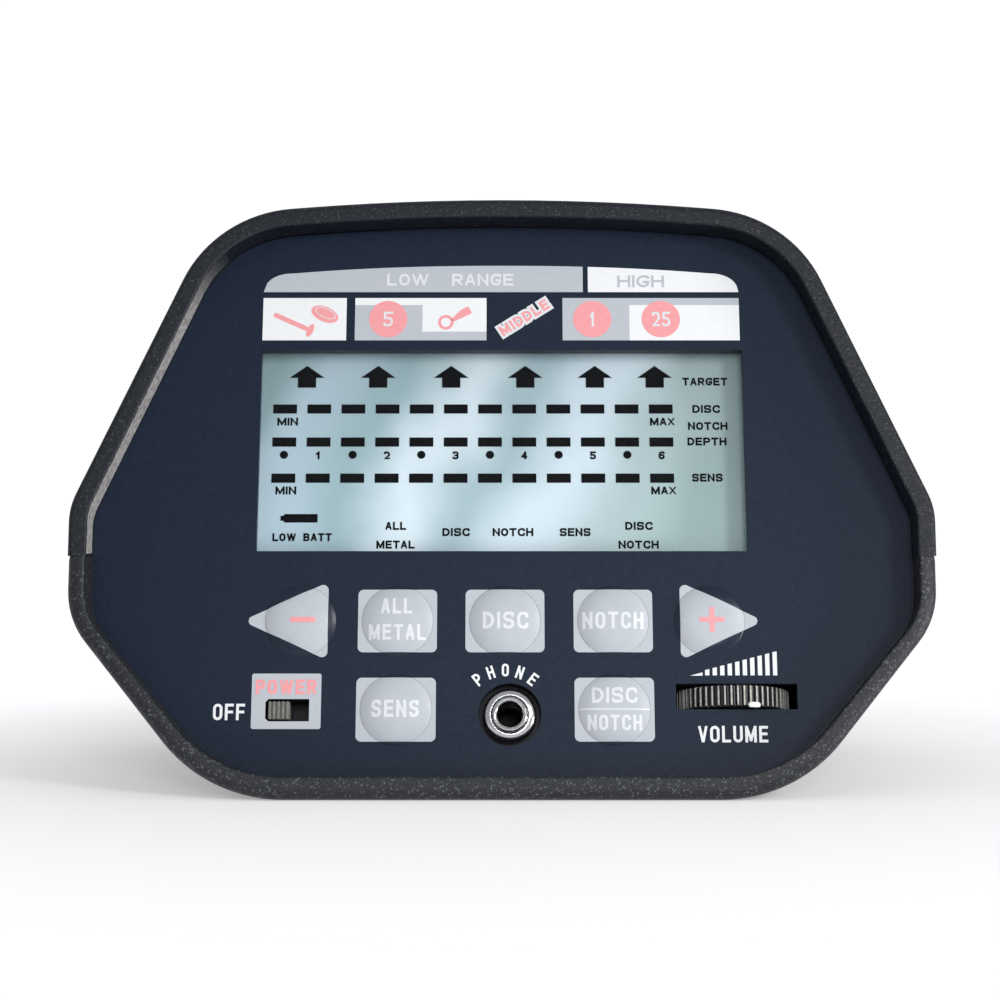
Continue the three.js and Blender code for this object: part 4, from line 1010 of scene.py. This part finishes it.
def make_key(name):
    u, v = key_at(name)
    points, bare, printed = key_dome(name)
    stem = key_stem(name)
    first = len(points)
    mesh = bpy.data.meshes.new(name + "_dome")
    faces = bare + printed + [[i + first for i in face] for face in stem[1]]
    mesh.from_pydata([Vector(p) * MM for p in points + stem[0]], [], faces)
    for index, polygon in enumerate(mesh.polygons):
        polygon.material_index = 1 if len(bare) <= index < len(bare) + len(printed) else 0
    work = bmesh.new()
    work.from_mesh(mesh)
    bmesh.ops.remove_doubles(work, verts=work.verts, dist=1e-7)
    loose = [vertex for vertex in work.verts if not vertex.link_faces]
    bmesh.ops.delete(work, geom=loose, context="VERTS")
    bmesh.ops.recalc_face_normals(work, faces=work.faces)
    work.to_mesh(mesh)
    work.free()
    base = FACE @ Matrix.Translation((u * MM, v * MM, 0))
    dressed(name + "_dome", mesh, [KEY_FILM, PRINT_GREY], name, [name], base)

    def mark(ending, shapes, material):
        if shapes:
            raised = together(*(on_dome(shape) for shape in shapes))
            piece(name + ending, raised, material, name, base=base)

    mark("_legend", [words(text, (x, y), width, height, *MARK_LEVELS, 0.19)
                     for text, x, y, width, height in KEY_WORDS.get(name, [])], PRINT_PALE)
    sign, rule = KEY_SIGNS.get(name), KEY_RULES.get(name)
    mark("_sign", [shifted(plate([sign], *MARK_LEVELS), 0.4, 0.1, 0)] if sign else [], PRINT_PINK)
    mark("_rule", [plate([rule], *MARK_LEVELS)] if rule else [], PRINT_PALE)


for key in KEYS:
    make_key(key)

# ---- prints on the film ----


def key_surrounds():
    shapes = []
    for name in KEYS:
        centre = key_at(name)
        loop = KEY_PRINTS[name]
        circle = ring_of(centre, KEY_HOLE + 0.01, KEY_COUNT)
        keep = lambda p, loop=loop, circle=circle: inside(p, loop) and not inside(p, circle)
        shapes.append(plate([loop, circle], 0, PRINT, keep))
    return together(*shapes)


ARCH_TOP, ARCH_FALL, ARCH_HALF = 42.5, 1.6, 38.5


def arch(u):
    """The header strip's top edge: a shallow arch."""
    return ARCH_TOP - ARCH_FALL * (abs(u) / ARCH_HALF) ** 2.2


def header_part(left, right, left_round, right_round, low=37.6):
    """One length of the arched strip, with an end curved down to its lower edge where one is asked for."""
    count = 96
    loop = [(left, low), (right, low)]
    for k in range(count + 1):
        u = right + (left - right) * k / count
        v = arch(u)
        for inner, width in ((left + left_round, left_round), (right - right_round, -right_round)):
            if width and (inner - u) / width > 0:
                fall = 1 - ((inner - u) / width) ** 2.2
                v = low + (arch(inner) - low) * math.sqrt(max(0, fall))
        if v - low > 0.02:
            loop.append((u, v))
    return loop


def flat_print(loops, level=0.0, keep=None):
    return plate(loops, level, level + PRINT, keep)


BAND = (28.7, 36.5)  # the icon boxes' lower and upper edge
STACK = PRINT * 0.9  # where the second layer of print starts


def grey_prints():
    low, high = BAND
    power = [rounded(rectangle(-41.8, -30.2, -39.25, -29.95), 0.35, 4), power_opening()]
    loops = [header_part(-41.8, 14.2, 5, 0), rectangle(-25.7, -13.9, low, high - 1.3),
             rectangle(-13.9, -2.7, low, low + 1.6), rectangle(10.6, 41.5, high - 1.3, high),
             rectangle(10.6, 22.3, low, high - 1.3)]
    return together(key_surrounds(), flat_print(power), *(flat_print([loop]) for loop in loops))


def white_prints():
    low, high = BAND
    loops = [header_part(15.1, 41.5, 0, 5), rectangle(-41.8, -27.2, low, high),
             rectangle(-25.7, -2.7, high - 1.3, high), rectangle(-13.9, -2.7, low + 1.6, high - 1.3),
             rectangle(22.3, 41.5, low, high - 1.3)]
    return together(*(flat_print([loop]) for loop in loops))


def volume_bars():
    shapes = [flat_print([[(31.5, -30.3), (33.55, -30.3), (33.55, -29.75)]])]
    for k in range(10):
        u = 34.35 + 1.263 * k
        top = -29.35 + 0.335 * k
        left, right = u - 0.36, u + 0.36
        shapes.append(flat_print([[(left, -30.25), (right, -30.25), (right, top + 0.15), (left, top)]]))
    return shapes


def arc_words(text, centre, radius, height, spread):
    """Letters set one by one on an arc above a centre."""
    shapes = []
    count = len(text)
    for k, glyph in enumerate(text):
        angle = math.radians(90 + spread / 2 - spread * k / (count - 1))
        at = around(centre, radius, angle)
        shapes.append(words(glyph, at, 1.17, height, 0, PRINT, 0.17, angle - math.pi / 2))
    return shapes


def white_legends():
    return together(
        *volume_bars(),
        *arc_words("PHONE", (JACK_AT[0] - 0.75, JACK_AT[1]), 7.5, 2.15, 76),
        words("OFF", (-45.5, -36.4), 5.3, 2.75, 0, PRINT, 0.165),
        words("VOLUME", (38.4, -40.1), 11.6, 2.75, 0, PRINT, 0.165),
    )


def capsule(start, end, radius, steps=10):
    """A stroke with round ends."""
    a, b = Vector(start), Vector(end)
    heading = math.atan2(b.y - a.y, b.x - a.x)
    loop = []
    for centre, offset in ((b, -math.pi / 2), (a, math.pi / 2)):
        for k in range(steps + 1):
            loop.append(around(centre, radius, heading + offset + math.pi * k / steps))
    return loop


def ellipse(centre, half_long, half_short, angle, count=40):
    loop = []
    for turn in turns(count):
        x, y = half_long * math.cos(turn), half_short * math.sin(turn)
        loop.append((centre[0] + x * math.cos(angle) - y * math.sin(angle),
                     centre[1] + x * math.sin(angle) + y * math.cos(angle)))
    return loop


DISCS = [(-19.9, 32.6, "5", 1.7), (15.8, 32.6, "1", 1.0), (27.8, 32.6, "25", 3.2)]
DIAGONAL = math.radians(33)


def diagonal_word(grow, level):
    """The slanting word, with every stroke thickened by grow on each side."""
    height, stroke, gap = 1.9, 0.42, 0.36
    tall = height + 2 * grow
    return words("MIDDLE", (3.9, 32.9), 9.8 + 2 * grow, tall, level, level + PRINT,
                 (stroke + 2 * grow) / tall, DIAGONAL, (gap - 2 * grow) / tall)


def pink_prints():
    tilt = math.radians(-24)
    shapes = [flat_print([ring_of((u, v), 3.35)], STACK) for u, v, _, _ in DISCS]
    shapes.append(flat_print([capsule((-39.5, 33.3), (-34.3, 30.9), 0.42)], STACK))
    shapes.append(flat_print([ellipse((-33.5, 30.5), 0.55, 1.25, tilt)], STACK))
    shapes.append(flat_print([ellipse((-31.0, 33.5), 2.5, 1.35, tilt)], STACK))
    shapes.append(flat_print([ring_of((-9.8, 32.0), 1.35, 32), ring_of((-9.8, 32.0), 0.85, 32)], STACK))
    handle = [(-8.9, 32.5), (-8.5, 32.1), (-5.2, 33.7), (-5.9, 35.0), (-7.3, 34.2)]
    shapes.append(flat_print([rounded(handle, 0.25, 3)], STACK))
    shapes.append(words("POWER", (-36.05, -32.2), 10.2, 2.5, STACK, STACK + PRINT, 0.22))
    shapes.append(diagonal_word(0, STACK))
    return together(*shapes)


def pale_prints():
    shapes = [words("LOW  RANGE", (-9.1, 39.9), 22.2, 2.2, STACK, STACK + PRINT, 0.2)]
    shapes += [words(digit, (u, v), width, 2.7, STACK * 2, STACK * 2 + PRINT, 0.15)
               for u, v, digit, width in DISCS]
    shapes.append(diagonal_word(0.42, 0))
    tilt = math.radians(-24)
    coin = [ellipse((-30.9, 33.7), 1.95, 0.86, tilt), ellipse((-30.9, 33.7), 1.8, 0.72, tilt)]
    shapes.append(flat_print(coin, STACK * 2))
    return together(*shapes)


def header_word():
    return words("HIGH", (24.4, 39.6), 8.2, 2.2, STACK, STACK + PRINT, 0.19)


film_prints = [("print_grey", grey_prints(), PRINT_GREY), ("print_white", white_prints(), PRINT_WHITE),
               ("legend_white", white_legends(), PRINT_WHITE), ("print_pink", pink_prints(), PRINT_PINK),
               ("legend_pale", pale_prints(), PRINT_PALE), ("header_word", header_word(), PRINT_GREY)]
for ending, shape, look in film_prints:
    piece("film_" + ending, shape, look, base=FACE)

# ---- display: glass and its segments ----

GLASS = span("lcd_glass")
DISPLAY_LIFT = 1.0  # the marks stand this much higher on the glass, which lies back from the panel


def arrow(u, low=20.2, high=24.2):
    half, stem, neck = 3.05, 1.6, 22.0
    return [(u - stem, low), (u + stem, low), (u + stem, neck), (u + half, neck), (u, high),
            (u - half, neck), (u - stem, neck)]


DISPLAY_CAP = 1.42  # height of the display's letters
ARROWS = (-34.2, -21.7, -8.9, 4.1, 16.3, 26.8)
BATTERY_MARK = [(-37.6, -4.1), (-31.8, -4.1), (-31.8, -2.6), (-37.6, -2.6), (-37.6, -2.9), (-38.2, -2.9),
                (-38.2, -3.8), (-37.6, -3.8)]
BAR_ROWS = [16.3, 10.3, 3.8]
BAR_LEFT, BAR_PITCH, BAR_WIDTH, BAR_HEIGHT = -37.9, 5.97, 4.15, 1.65


DISPLAY_WORDS = [  # text, middle across and up the panel, width
    ("MIN", -37.4, 14.0, 3.6), ("MAX", 28.0, 14.0, 4.3), ("MIN", -37.4, 1.6, 3.6), ("MAX", 28.0, 1.6, 4.3),
    ("TARGET", 35.6, 21.3, 7.9), ("DISC", 35.7, 16.3, 4.8), ("NOTCH", 35.9, 13.2, 6.9),
    ("DEPTH", 35.7, 10.4, 6.8), ("SENS", 35.6, 3.9, 5.3), ("LOW BATT", -34.4, -6.7, 10.2),
    ("ALL", -18.3, -4.7, 3.6), ("METAL", -18.3, -8.0, 6.6), ("DISC", -7.9, -5.8, 4.7),
    ("NOTCH", 1.9, -5.8, 7.0), ("SENS", 12.6, -5.8, 5.3), ("DISC", 23.6, -4.7, 4.7),
    ("NOTCH", 23.5, -8.0, 6.9),
    *((str(k + 1), BAR_LEFT + BAR_PITCH * (2 * k + 1), 7.9, 1.05) for k in range(6)),
]


def display_marks():
    level = GLASS[1].z
    top = level + 0.04
    flat = lambda loop: plate([loop], level, top)
    shapes = [shifted(flat(arrow(u)), 0, DISPLAY_LIFT, 0) for u in ARROWS]
    for row in BAR_ROWS:
        low, high = row + DISPLAY_LIFT - BAR_HEIGHT / 2, row + DISPLAY_LIFT + BAR_HEIGHT / 2
        for k in range(12):
            u = BAR_LEFT + BAR_PITCH * k
            shapes.append(flat(rectangle(u - BAR_WIDTH / 2, u + BAR_WIDTH / 2, low, high)))
    for k in range(6):
        shapes.append(flat(ring_of((BAR_LEFT + 2 * BAR_PITCH * k, 8.0 + DISPLAY_LIFT), 0.72, 24)))
    shapes.append(shifted(flat(BATTERY_MARK), 0, DISPLAY_LIFT, 0))
    for text, u, v, width in DISPLAY_WORDS:
        shapes.append(words(text, (u, v + DISPLAY_LIFT), width, DISPLAY_CAP, level, top, 0.235, gap=0.13))
    return together(*shapes)


piece("display_glass_pane", slab(*GLASS, 0.3), DISPLAY, nodes=["lcd_glass"], base=FACE)
piece("display_segments", display_marks(), SEGMENT, base=FACE)

# ---- phone jack ----

NUT = [(3.12, -2.9), (4.5, -2.9), (4.5, -0.95), (4.42, -0.6), (4.18, -0.28), (3.84, 0), (3.48, 0.16),
       (3.27, 0.16), (3.14, 0)]
BUSHING = [(1.95, -5.6), (3.05, -5.6), (3.05, 0.2), (3.0, 0.55), (2.82, 0.8), (2.6, 0.9), (2.35, 0.82),
           (2.12, 0.55), (1.98, 0.1)]
jack_base = FACE @ Matrix.Translation((JACK_AT[0] * MM, JACK_AT[1] * MM, 0))
piece("jack_ring_nut", lathe(NUT, 72, True), NICKEL, nodes=["jack_nut"], base=jack_base)
piece("jack_sleeve", lathe(BUSHING, 72, True), NICKEL, nodes=["jack_bushing"], base=jack_base)

# ---- power switch knob ----

KNOB_GRIPS = 5


def power_knob():
    low, high = span("power_knob")
    pitch = (high.x - low.x) / KNOB_GRIPS
    base = slab(low, (high.x, high.y, high.z - 0.6), 0.15)
    ridges = []
    for k in range(KNOB_GRIPS):
        middle = low.x + (k + 0.5) * pitch
        half = pitch * 0.3
        ridges.append(slab((middle - half, low.y, high.z - 1.2), (middle + half, high.y, high.z), 0.1))
    return together(base, *ridges)


piece("power_knob_grip", power_knob(), KNOB, "power_knob", ["power_knob"], FACE)

# ---- volume wheel ----

WHEEL_R, WHEEL_HALF, RIBS, RIB_DEPTH = 9.7, 1.825, 56, 0.55


def rib_radius(angle):
    """The wheel's rim: flat-topped ribs with rounded valleys."""
    wave = math.tanh(2.0 * math.cos(RIBS * angle)) / math.tanh(2.0)
    return WHEEL_R - RIB_DEPTH * (0.5 - 0.5 * wave)


def wheel():
    levels = [(-WHEEL_HALF, 0.3), (-WHEEL_HALF + 0.06, 0.1), (-WHEEL_HALF + 0.18, 0), (WHEEL_HALF - 0.18, 0),
              (WHEEL_HALF - 0.06, 0.1), (WHEEL_HALF, 0.3)]
    rings = [[(*around((0, 0), rib_radius(angle) - closed, angle), level) for angle in turns(RIBS * 8)]
             for level, closed in levels]
    hub = rod("z", (0, 0), -WHEEL_HALF - 2.3, 0, 2.9, 0.1)
    screw_hole = rod("z", (0, 0), WHEEL_HALF - 1.2, WHEEL_HALF + 1, 1.0, segments=24)
    return cut(joined(skin(rings), [hub]), [screw_hole])


def wheel_marker():
    """A small white pointer on the wheel's lower edge."""
    angle = math.radians(MARKER_ANGLE)
    low = lathe([(0, -0.5), (0.75, -0.4), (0.95, 0), (0.75, 0.4), (0, 0.5)], 24)
    squashed = moved(low, Matrix.Diagonal((0.45, 1.25, 1.0, 1.0)))
    turned = moved(squashed, Matrix.Rotation(angle, 4, "Z"))
    return shifted(turned, *around((0, 0), WHEEL_R - 0.25, angle), 0.3 - WHEEL_HALF)


def wheel_crest_highlights():
    """A painted highlight: a pale line along each rib."""
    lines = []
    for angle in turns(RIBS):
        line = slab((WHEEL_R - 0.2, -0.15, 0.2 - WHEEL_HALF), (WHEEL_R + 0.03, 0.15, WHEEL_HALF - 0.2), 0.06)
        lines.append(moved(line, Matrix.Rotation(angle, 4, "Z")))
    return together(*lines)


# The wheel is drawn with its axis along Z, then laid over so that this axis runs up the panel.
wheel_base = FACE @ Matrix.Translation(WHEEL_AT * MM) @ Matrix.Rotation(-math.pi / 2, 4, "X")
MARKER_ANGLE = -90 + 17
wheel_pieces = [("rim", wheel(), WHEEL_RIB, "black_plastic"),
                ("crests", wheel_crest_highlights(), RIB_HIGHLIGHT, "black_plastic"),
                ("marker", wheel_marker(), PRINT_WHITE, "key_print")]
for ending, shape, look, slot in wheel_pieces:
    nodes = ["volume_wheel"] if ending == "rim" else []
    piece("volume_wheel_" + ending, shape, look, "volume_wheel", nodes, wheel_base)

# ---- rear: battery doors, coil socket, screws ----


def battery_door(side):
    low, high = reach("battery_door_" + side)
    x, y, z = hinge_of(side)
    inner = REAR - DOOR_POCKET + 0.15
    outer = inner + 1.7
    bottom = low.z
    top = z - 1.5
    width = (high.x - low.x) / 2
    sheet = slab((x - width, inner, bottom), (x + width, outer, top), 0.35, 3)
    arm = slab((x - 6.5, outer - 0.6, top - 2.2), (x + 6.5, y + 1, top - 0.4), 0.15)
    neck = slab((x - 6.5, y - 0.9, top - 2), (x + 6.5, y + 1, z), 0.15)
    knuckle = rod("x", (y, z), x - 7, x + 7, 1.3, 0.15)
    pins = rod("x", (y, z), x - 9.1, x + 9.1, 0.7, 0.1, 24)
    rows = [bottom + 2.2 + 1.5 * k for k in range(4)]
    grips = [slab((x - 6, outer - 0.3, row), (x + 6, outer + 0.45, row + 0.8), 0.25) for row in rows]
    return joined(sheet, [arm, neck, knuckle, pins, *grips])


for side in SIDES:
    name = "battery_door_" + side
    # painted light: the doors share the lower shell's lighter copy of the plastic
    piece(name + "_cover", battery_door(side), LOWER_SHELL_PAINTED_LIGHT, name, [name])


def hex_nut(low, high, across, bore):
    prism = plate([ring_of((0, 0), across, 6)], low, high)
    edge = across * 0.13
    round_off = lathe([(0, low), (across - edge, low), (across + 0.05, low + edge * 0.55),
                       (across + 0.05, high - edge * 0.55), (across - edge, high), (0, high)], 72)
    hole = rod("z", (0, 0), low - 1, high + 1, bore, segments=48)
    return cut(common(prism, round_off), [hole])


def coil_socket():
    front, end, outer, bore = -9, 5.5, 7.0, 5.5
    profile = [(bore, front), (8.6, -5.8), (8.6, -3.8), (outer, -3.8), (outer, 2.9)]
    pitch = 0.6
    for k in range(4):
        level = 2.9 + k * pitch
        profile += [(outer, level + 0.1), (outer - 0.32, level + 0.3), (outer, level + 0.5)]
    profile += [(outer, end - 0.4), (outer - 0.3, end - 0.1), (outer - 0.55, end), (bore + 0.3, end),
                (bore, end - 0.3)]
    profile[0:1] = [(bore, front), (outer, front), (outer, -5.8)]
    return shifted(moved(lathe(profile, 64, True), ALONG["y"]), 0, REAR, SOCKET_Z)


def socket_contacts():
    shapes = []
    for angle in turns(5):
        at = around((0, SOCKET_Z), 3, angle + math.pi / 2)
        pin = rod("y", at, REAR - 4.8, REAR - 0.95, 0.56, segments=24)
        shapes.append(cut(pin, [rod("y", at, REAR - 4, REAR, 0.34, segments=20)]))
    return together(*shapes)


piece("coil_socket_sleeve", coil_socket(), NICKEL, nodes=["coil_socket_shell"])
socket_nut = shifted(moved(hex_nut(0.15, 2.65, 9, 7.15), ALONG["y"]), 0, REAR, SOCKET_Z)
piece("coil_socket_hex_nut", socket_nut, NICKEL, nodes=["coil_socket_nut"])
piece("coil_socket_contacts", socket_contacts(), BRASS)


def screw(node):
    low, high = reach(node)
    x, y = (low.x + high.x) / 2, (low.y + high.y) / 2
    head = [(0, low.z), (1.6, low.z + 0.08), (2.4, low.z + 0.4), (2.75, low.z + 0.9), (2.8, low.z + 1.3),
            (2.8, low.z + 2.2), (1.4, low.z + 2.2), (1.4, high.z), (0, high.z)]
    solid = shifted(lathe(head, 40), x, y, 0)
    cross = [slab((x - 1.5, y - 0.28, low.z - 1), (x + 1.5, y + 0.28, low.z + 1.1)),
             slab((x - 0.28, y - 1.5, low.z - 1), (x + 0.28, y + 1.5, low.z + 1.1))]
    return cut(solid, cross)


for end in ("front", "rear"):
    for side in SIDES:
        node = "housing_screw_" + end + "_" + side
        piece("screw_" + end + "_" + side, screw(node), STEEL, nodes=[node])

# ---- materials of the CAD nodes that stay ----

NODE_LOOKS = [  # the nodes that aren't listed are black plastic
    (PANEL, "front_panel"), (CLEAR, "display_window"), (RIBBON, "ribbon_cable"), (PAPER, "speaker_cone"),
    (STEEL, "lcd_bezel capacitor volume_wheel_screw speaker_frame speaker_magnet"),
    (RUBBER, "lcd_connector_upper lcd_connector_lower volume_pot_body battery_snap_left battery_snap_right"),
    (BOARD, "main_board keypad_board"), (BATTERY, "battery_left battery_right"),
    (BRASS, "stem_insert_front stem_insert_rear"),
    (LEAD, "battery_lead_left battery_lead_right speaker_lead coil_lead"),
]
look_of = {name: look for look, names in NODE_LOOKS for name in names.split()}
for name, node in frame["nodes"].items():
    node.data.materials.clear()
    node.data.materials.append(look_of.get(name, BLACK))

# ---- floor, light and camera ----


def floor():
    """A pale floor that thins out to nothing a little way from the object, so that no edge shows."""
    material = surface("studio_floor", (0.88, 0.88, 0.88), (0.92, 0.92, 0.92), 400, (0.7, 0.8), specular=0.1)
    tree = material.node_tree
    far = add(tree, "VectorMath", {0: place_in(tree)}, operation="LENGTH")["Value"]
    fade = mapped(tree, far, FLOOR_FADE, (1, 0), interpolation_type="SMOOTHSTEP")
    glow = {"Alpha": fade, "Emission Color": (1, 1, 1, 1), "Emission Strength": 0.3}
    feed(tree, tree.nodes["Principled BSDF"], glow)
    mesh = bpy.data.meshes.new("studio_floor")
    work = bmesh.new()
    bmesh.ops.create_circle(work, cap_ends=True, segments=96, radius=2)
    work.to_mesh(mesh)
    work.free()
    mesh.materials.append(material)
    placed("studio_floor", mesh)


def area_light(name, at, size, power, colour, target=(0, -0.03, 0.05)):
    data = bpy.data.lights.new(name, "AREA")
    data.shape = "DISK"
    data.size = size
    data.energy = power
    data.color = colour
    made = placed(name, data)
    made.location = at
    made.rotation_mode = "QUATERNION"
    made.rotation_quaternion = (Vector(target) - Vector(at)).to_track_quat("-Z", "Y")


FLOOR_FADE = (0.07, 0.19)  # metres from the middle
WORLD_LIGHT, BACKDROP = 0.5, 1.05  # the world's strength as a light, and as the camera sees it
LIGHTS = [  # name, direction in the panel's frame, distance, width, power, colour
    ("key_light", (0.665, 0.22, 0.72), 0.9, 0.2, 2.6, (1.0, 0.99, 0.97)),
    ("front_light", (0.10, 0.06, 0.99), 1.0, 0.3, 2.2, (0.97, 0.98, 1.0)),
    ("side_light", (0.944, -0.18, 0.278), 0.8, 0.12, 3.0, (1.0, 0.98, 0.95)),
]


def studio():
    world = bpy.data.worlds.new("studio")
    world.use_nodes = True
    tree = world.node_tree
    seen = add(tree, "LightPath", {})["Is Camera Ray"]
    strength = mapped(tree, seen, (0, 1), (WORLD_LIGHT, BACKDROP))
    feed(tree, tree.nodes["Background"], {"Color": (0.97, 0.98, 1.0, 1), "Strength": strength})
    bpy.context.scene.world = world
    bpy.context.scene.view_settings.view_transform = "Standard"
    for name, toward, far, size, power, colour in LIGHTS:
        away = TURN @ Vector(toward).normalized()
        area_light(name, FACE.translation + away * far, size, power, colour)


def camera():
    data = bpy.data.cameras.new("camera")
    data.lens = 72
    data.sensor_width = 36
    data.clip_start = 0.01
    made = placed("camera", data)
    made.location = (-0.00034, ORIGIN.y * MM - 0.342, 0.049)
    made.rotation_euler = (math.pi / 2, 0, 0)
    bpy.context.scene.camera = made


floor()
studio()
camera()
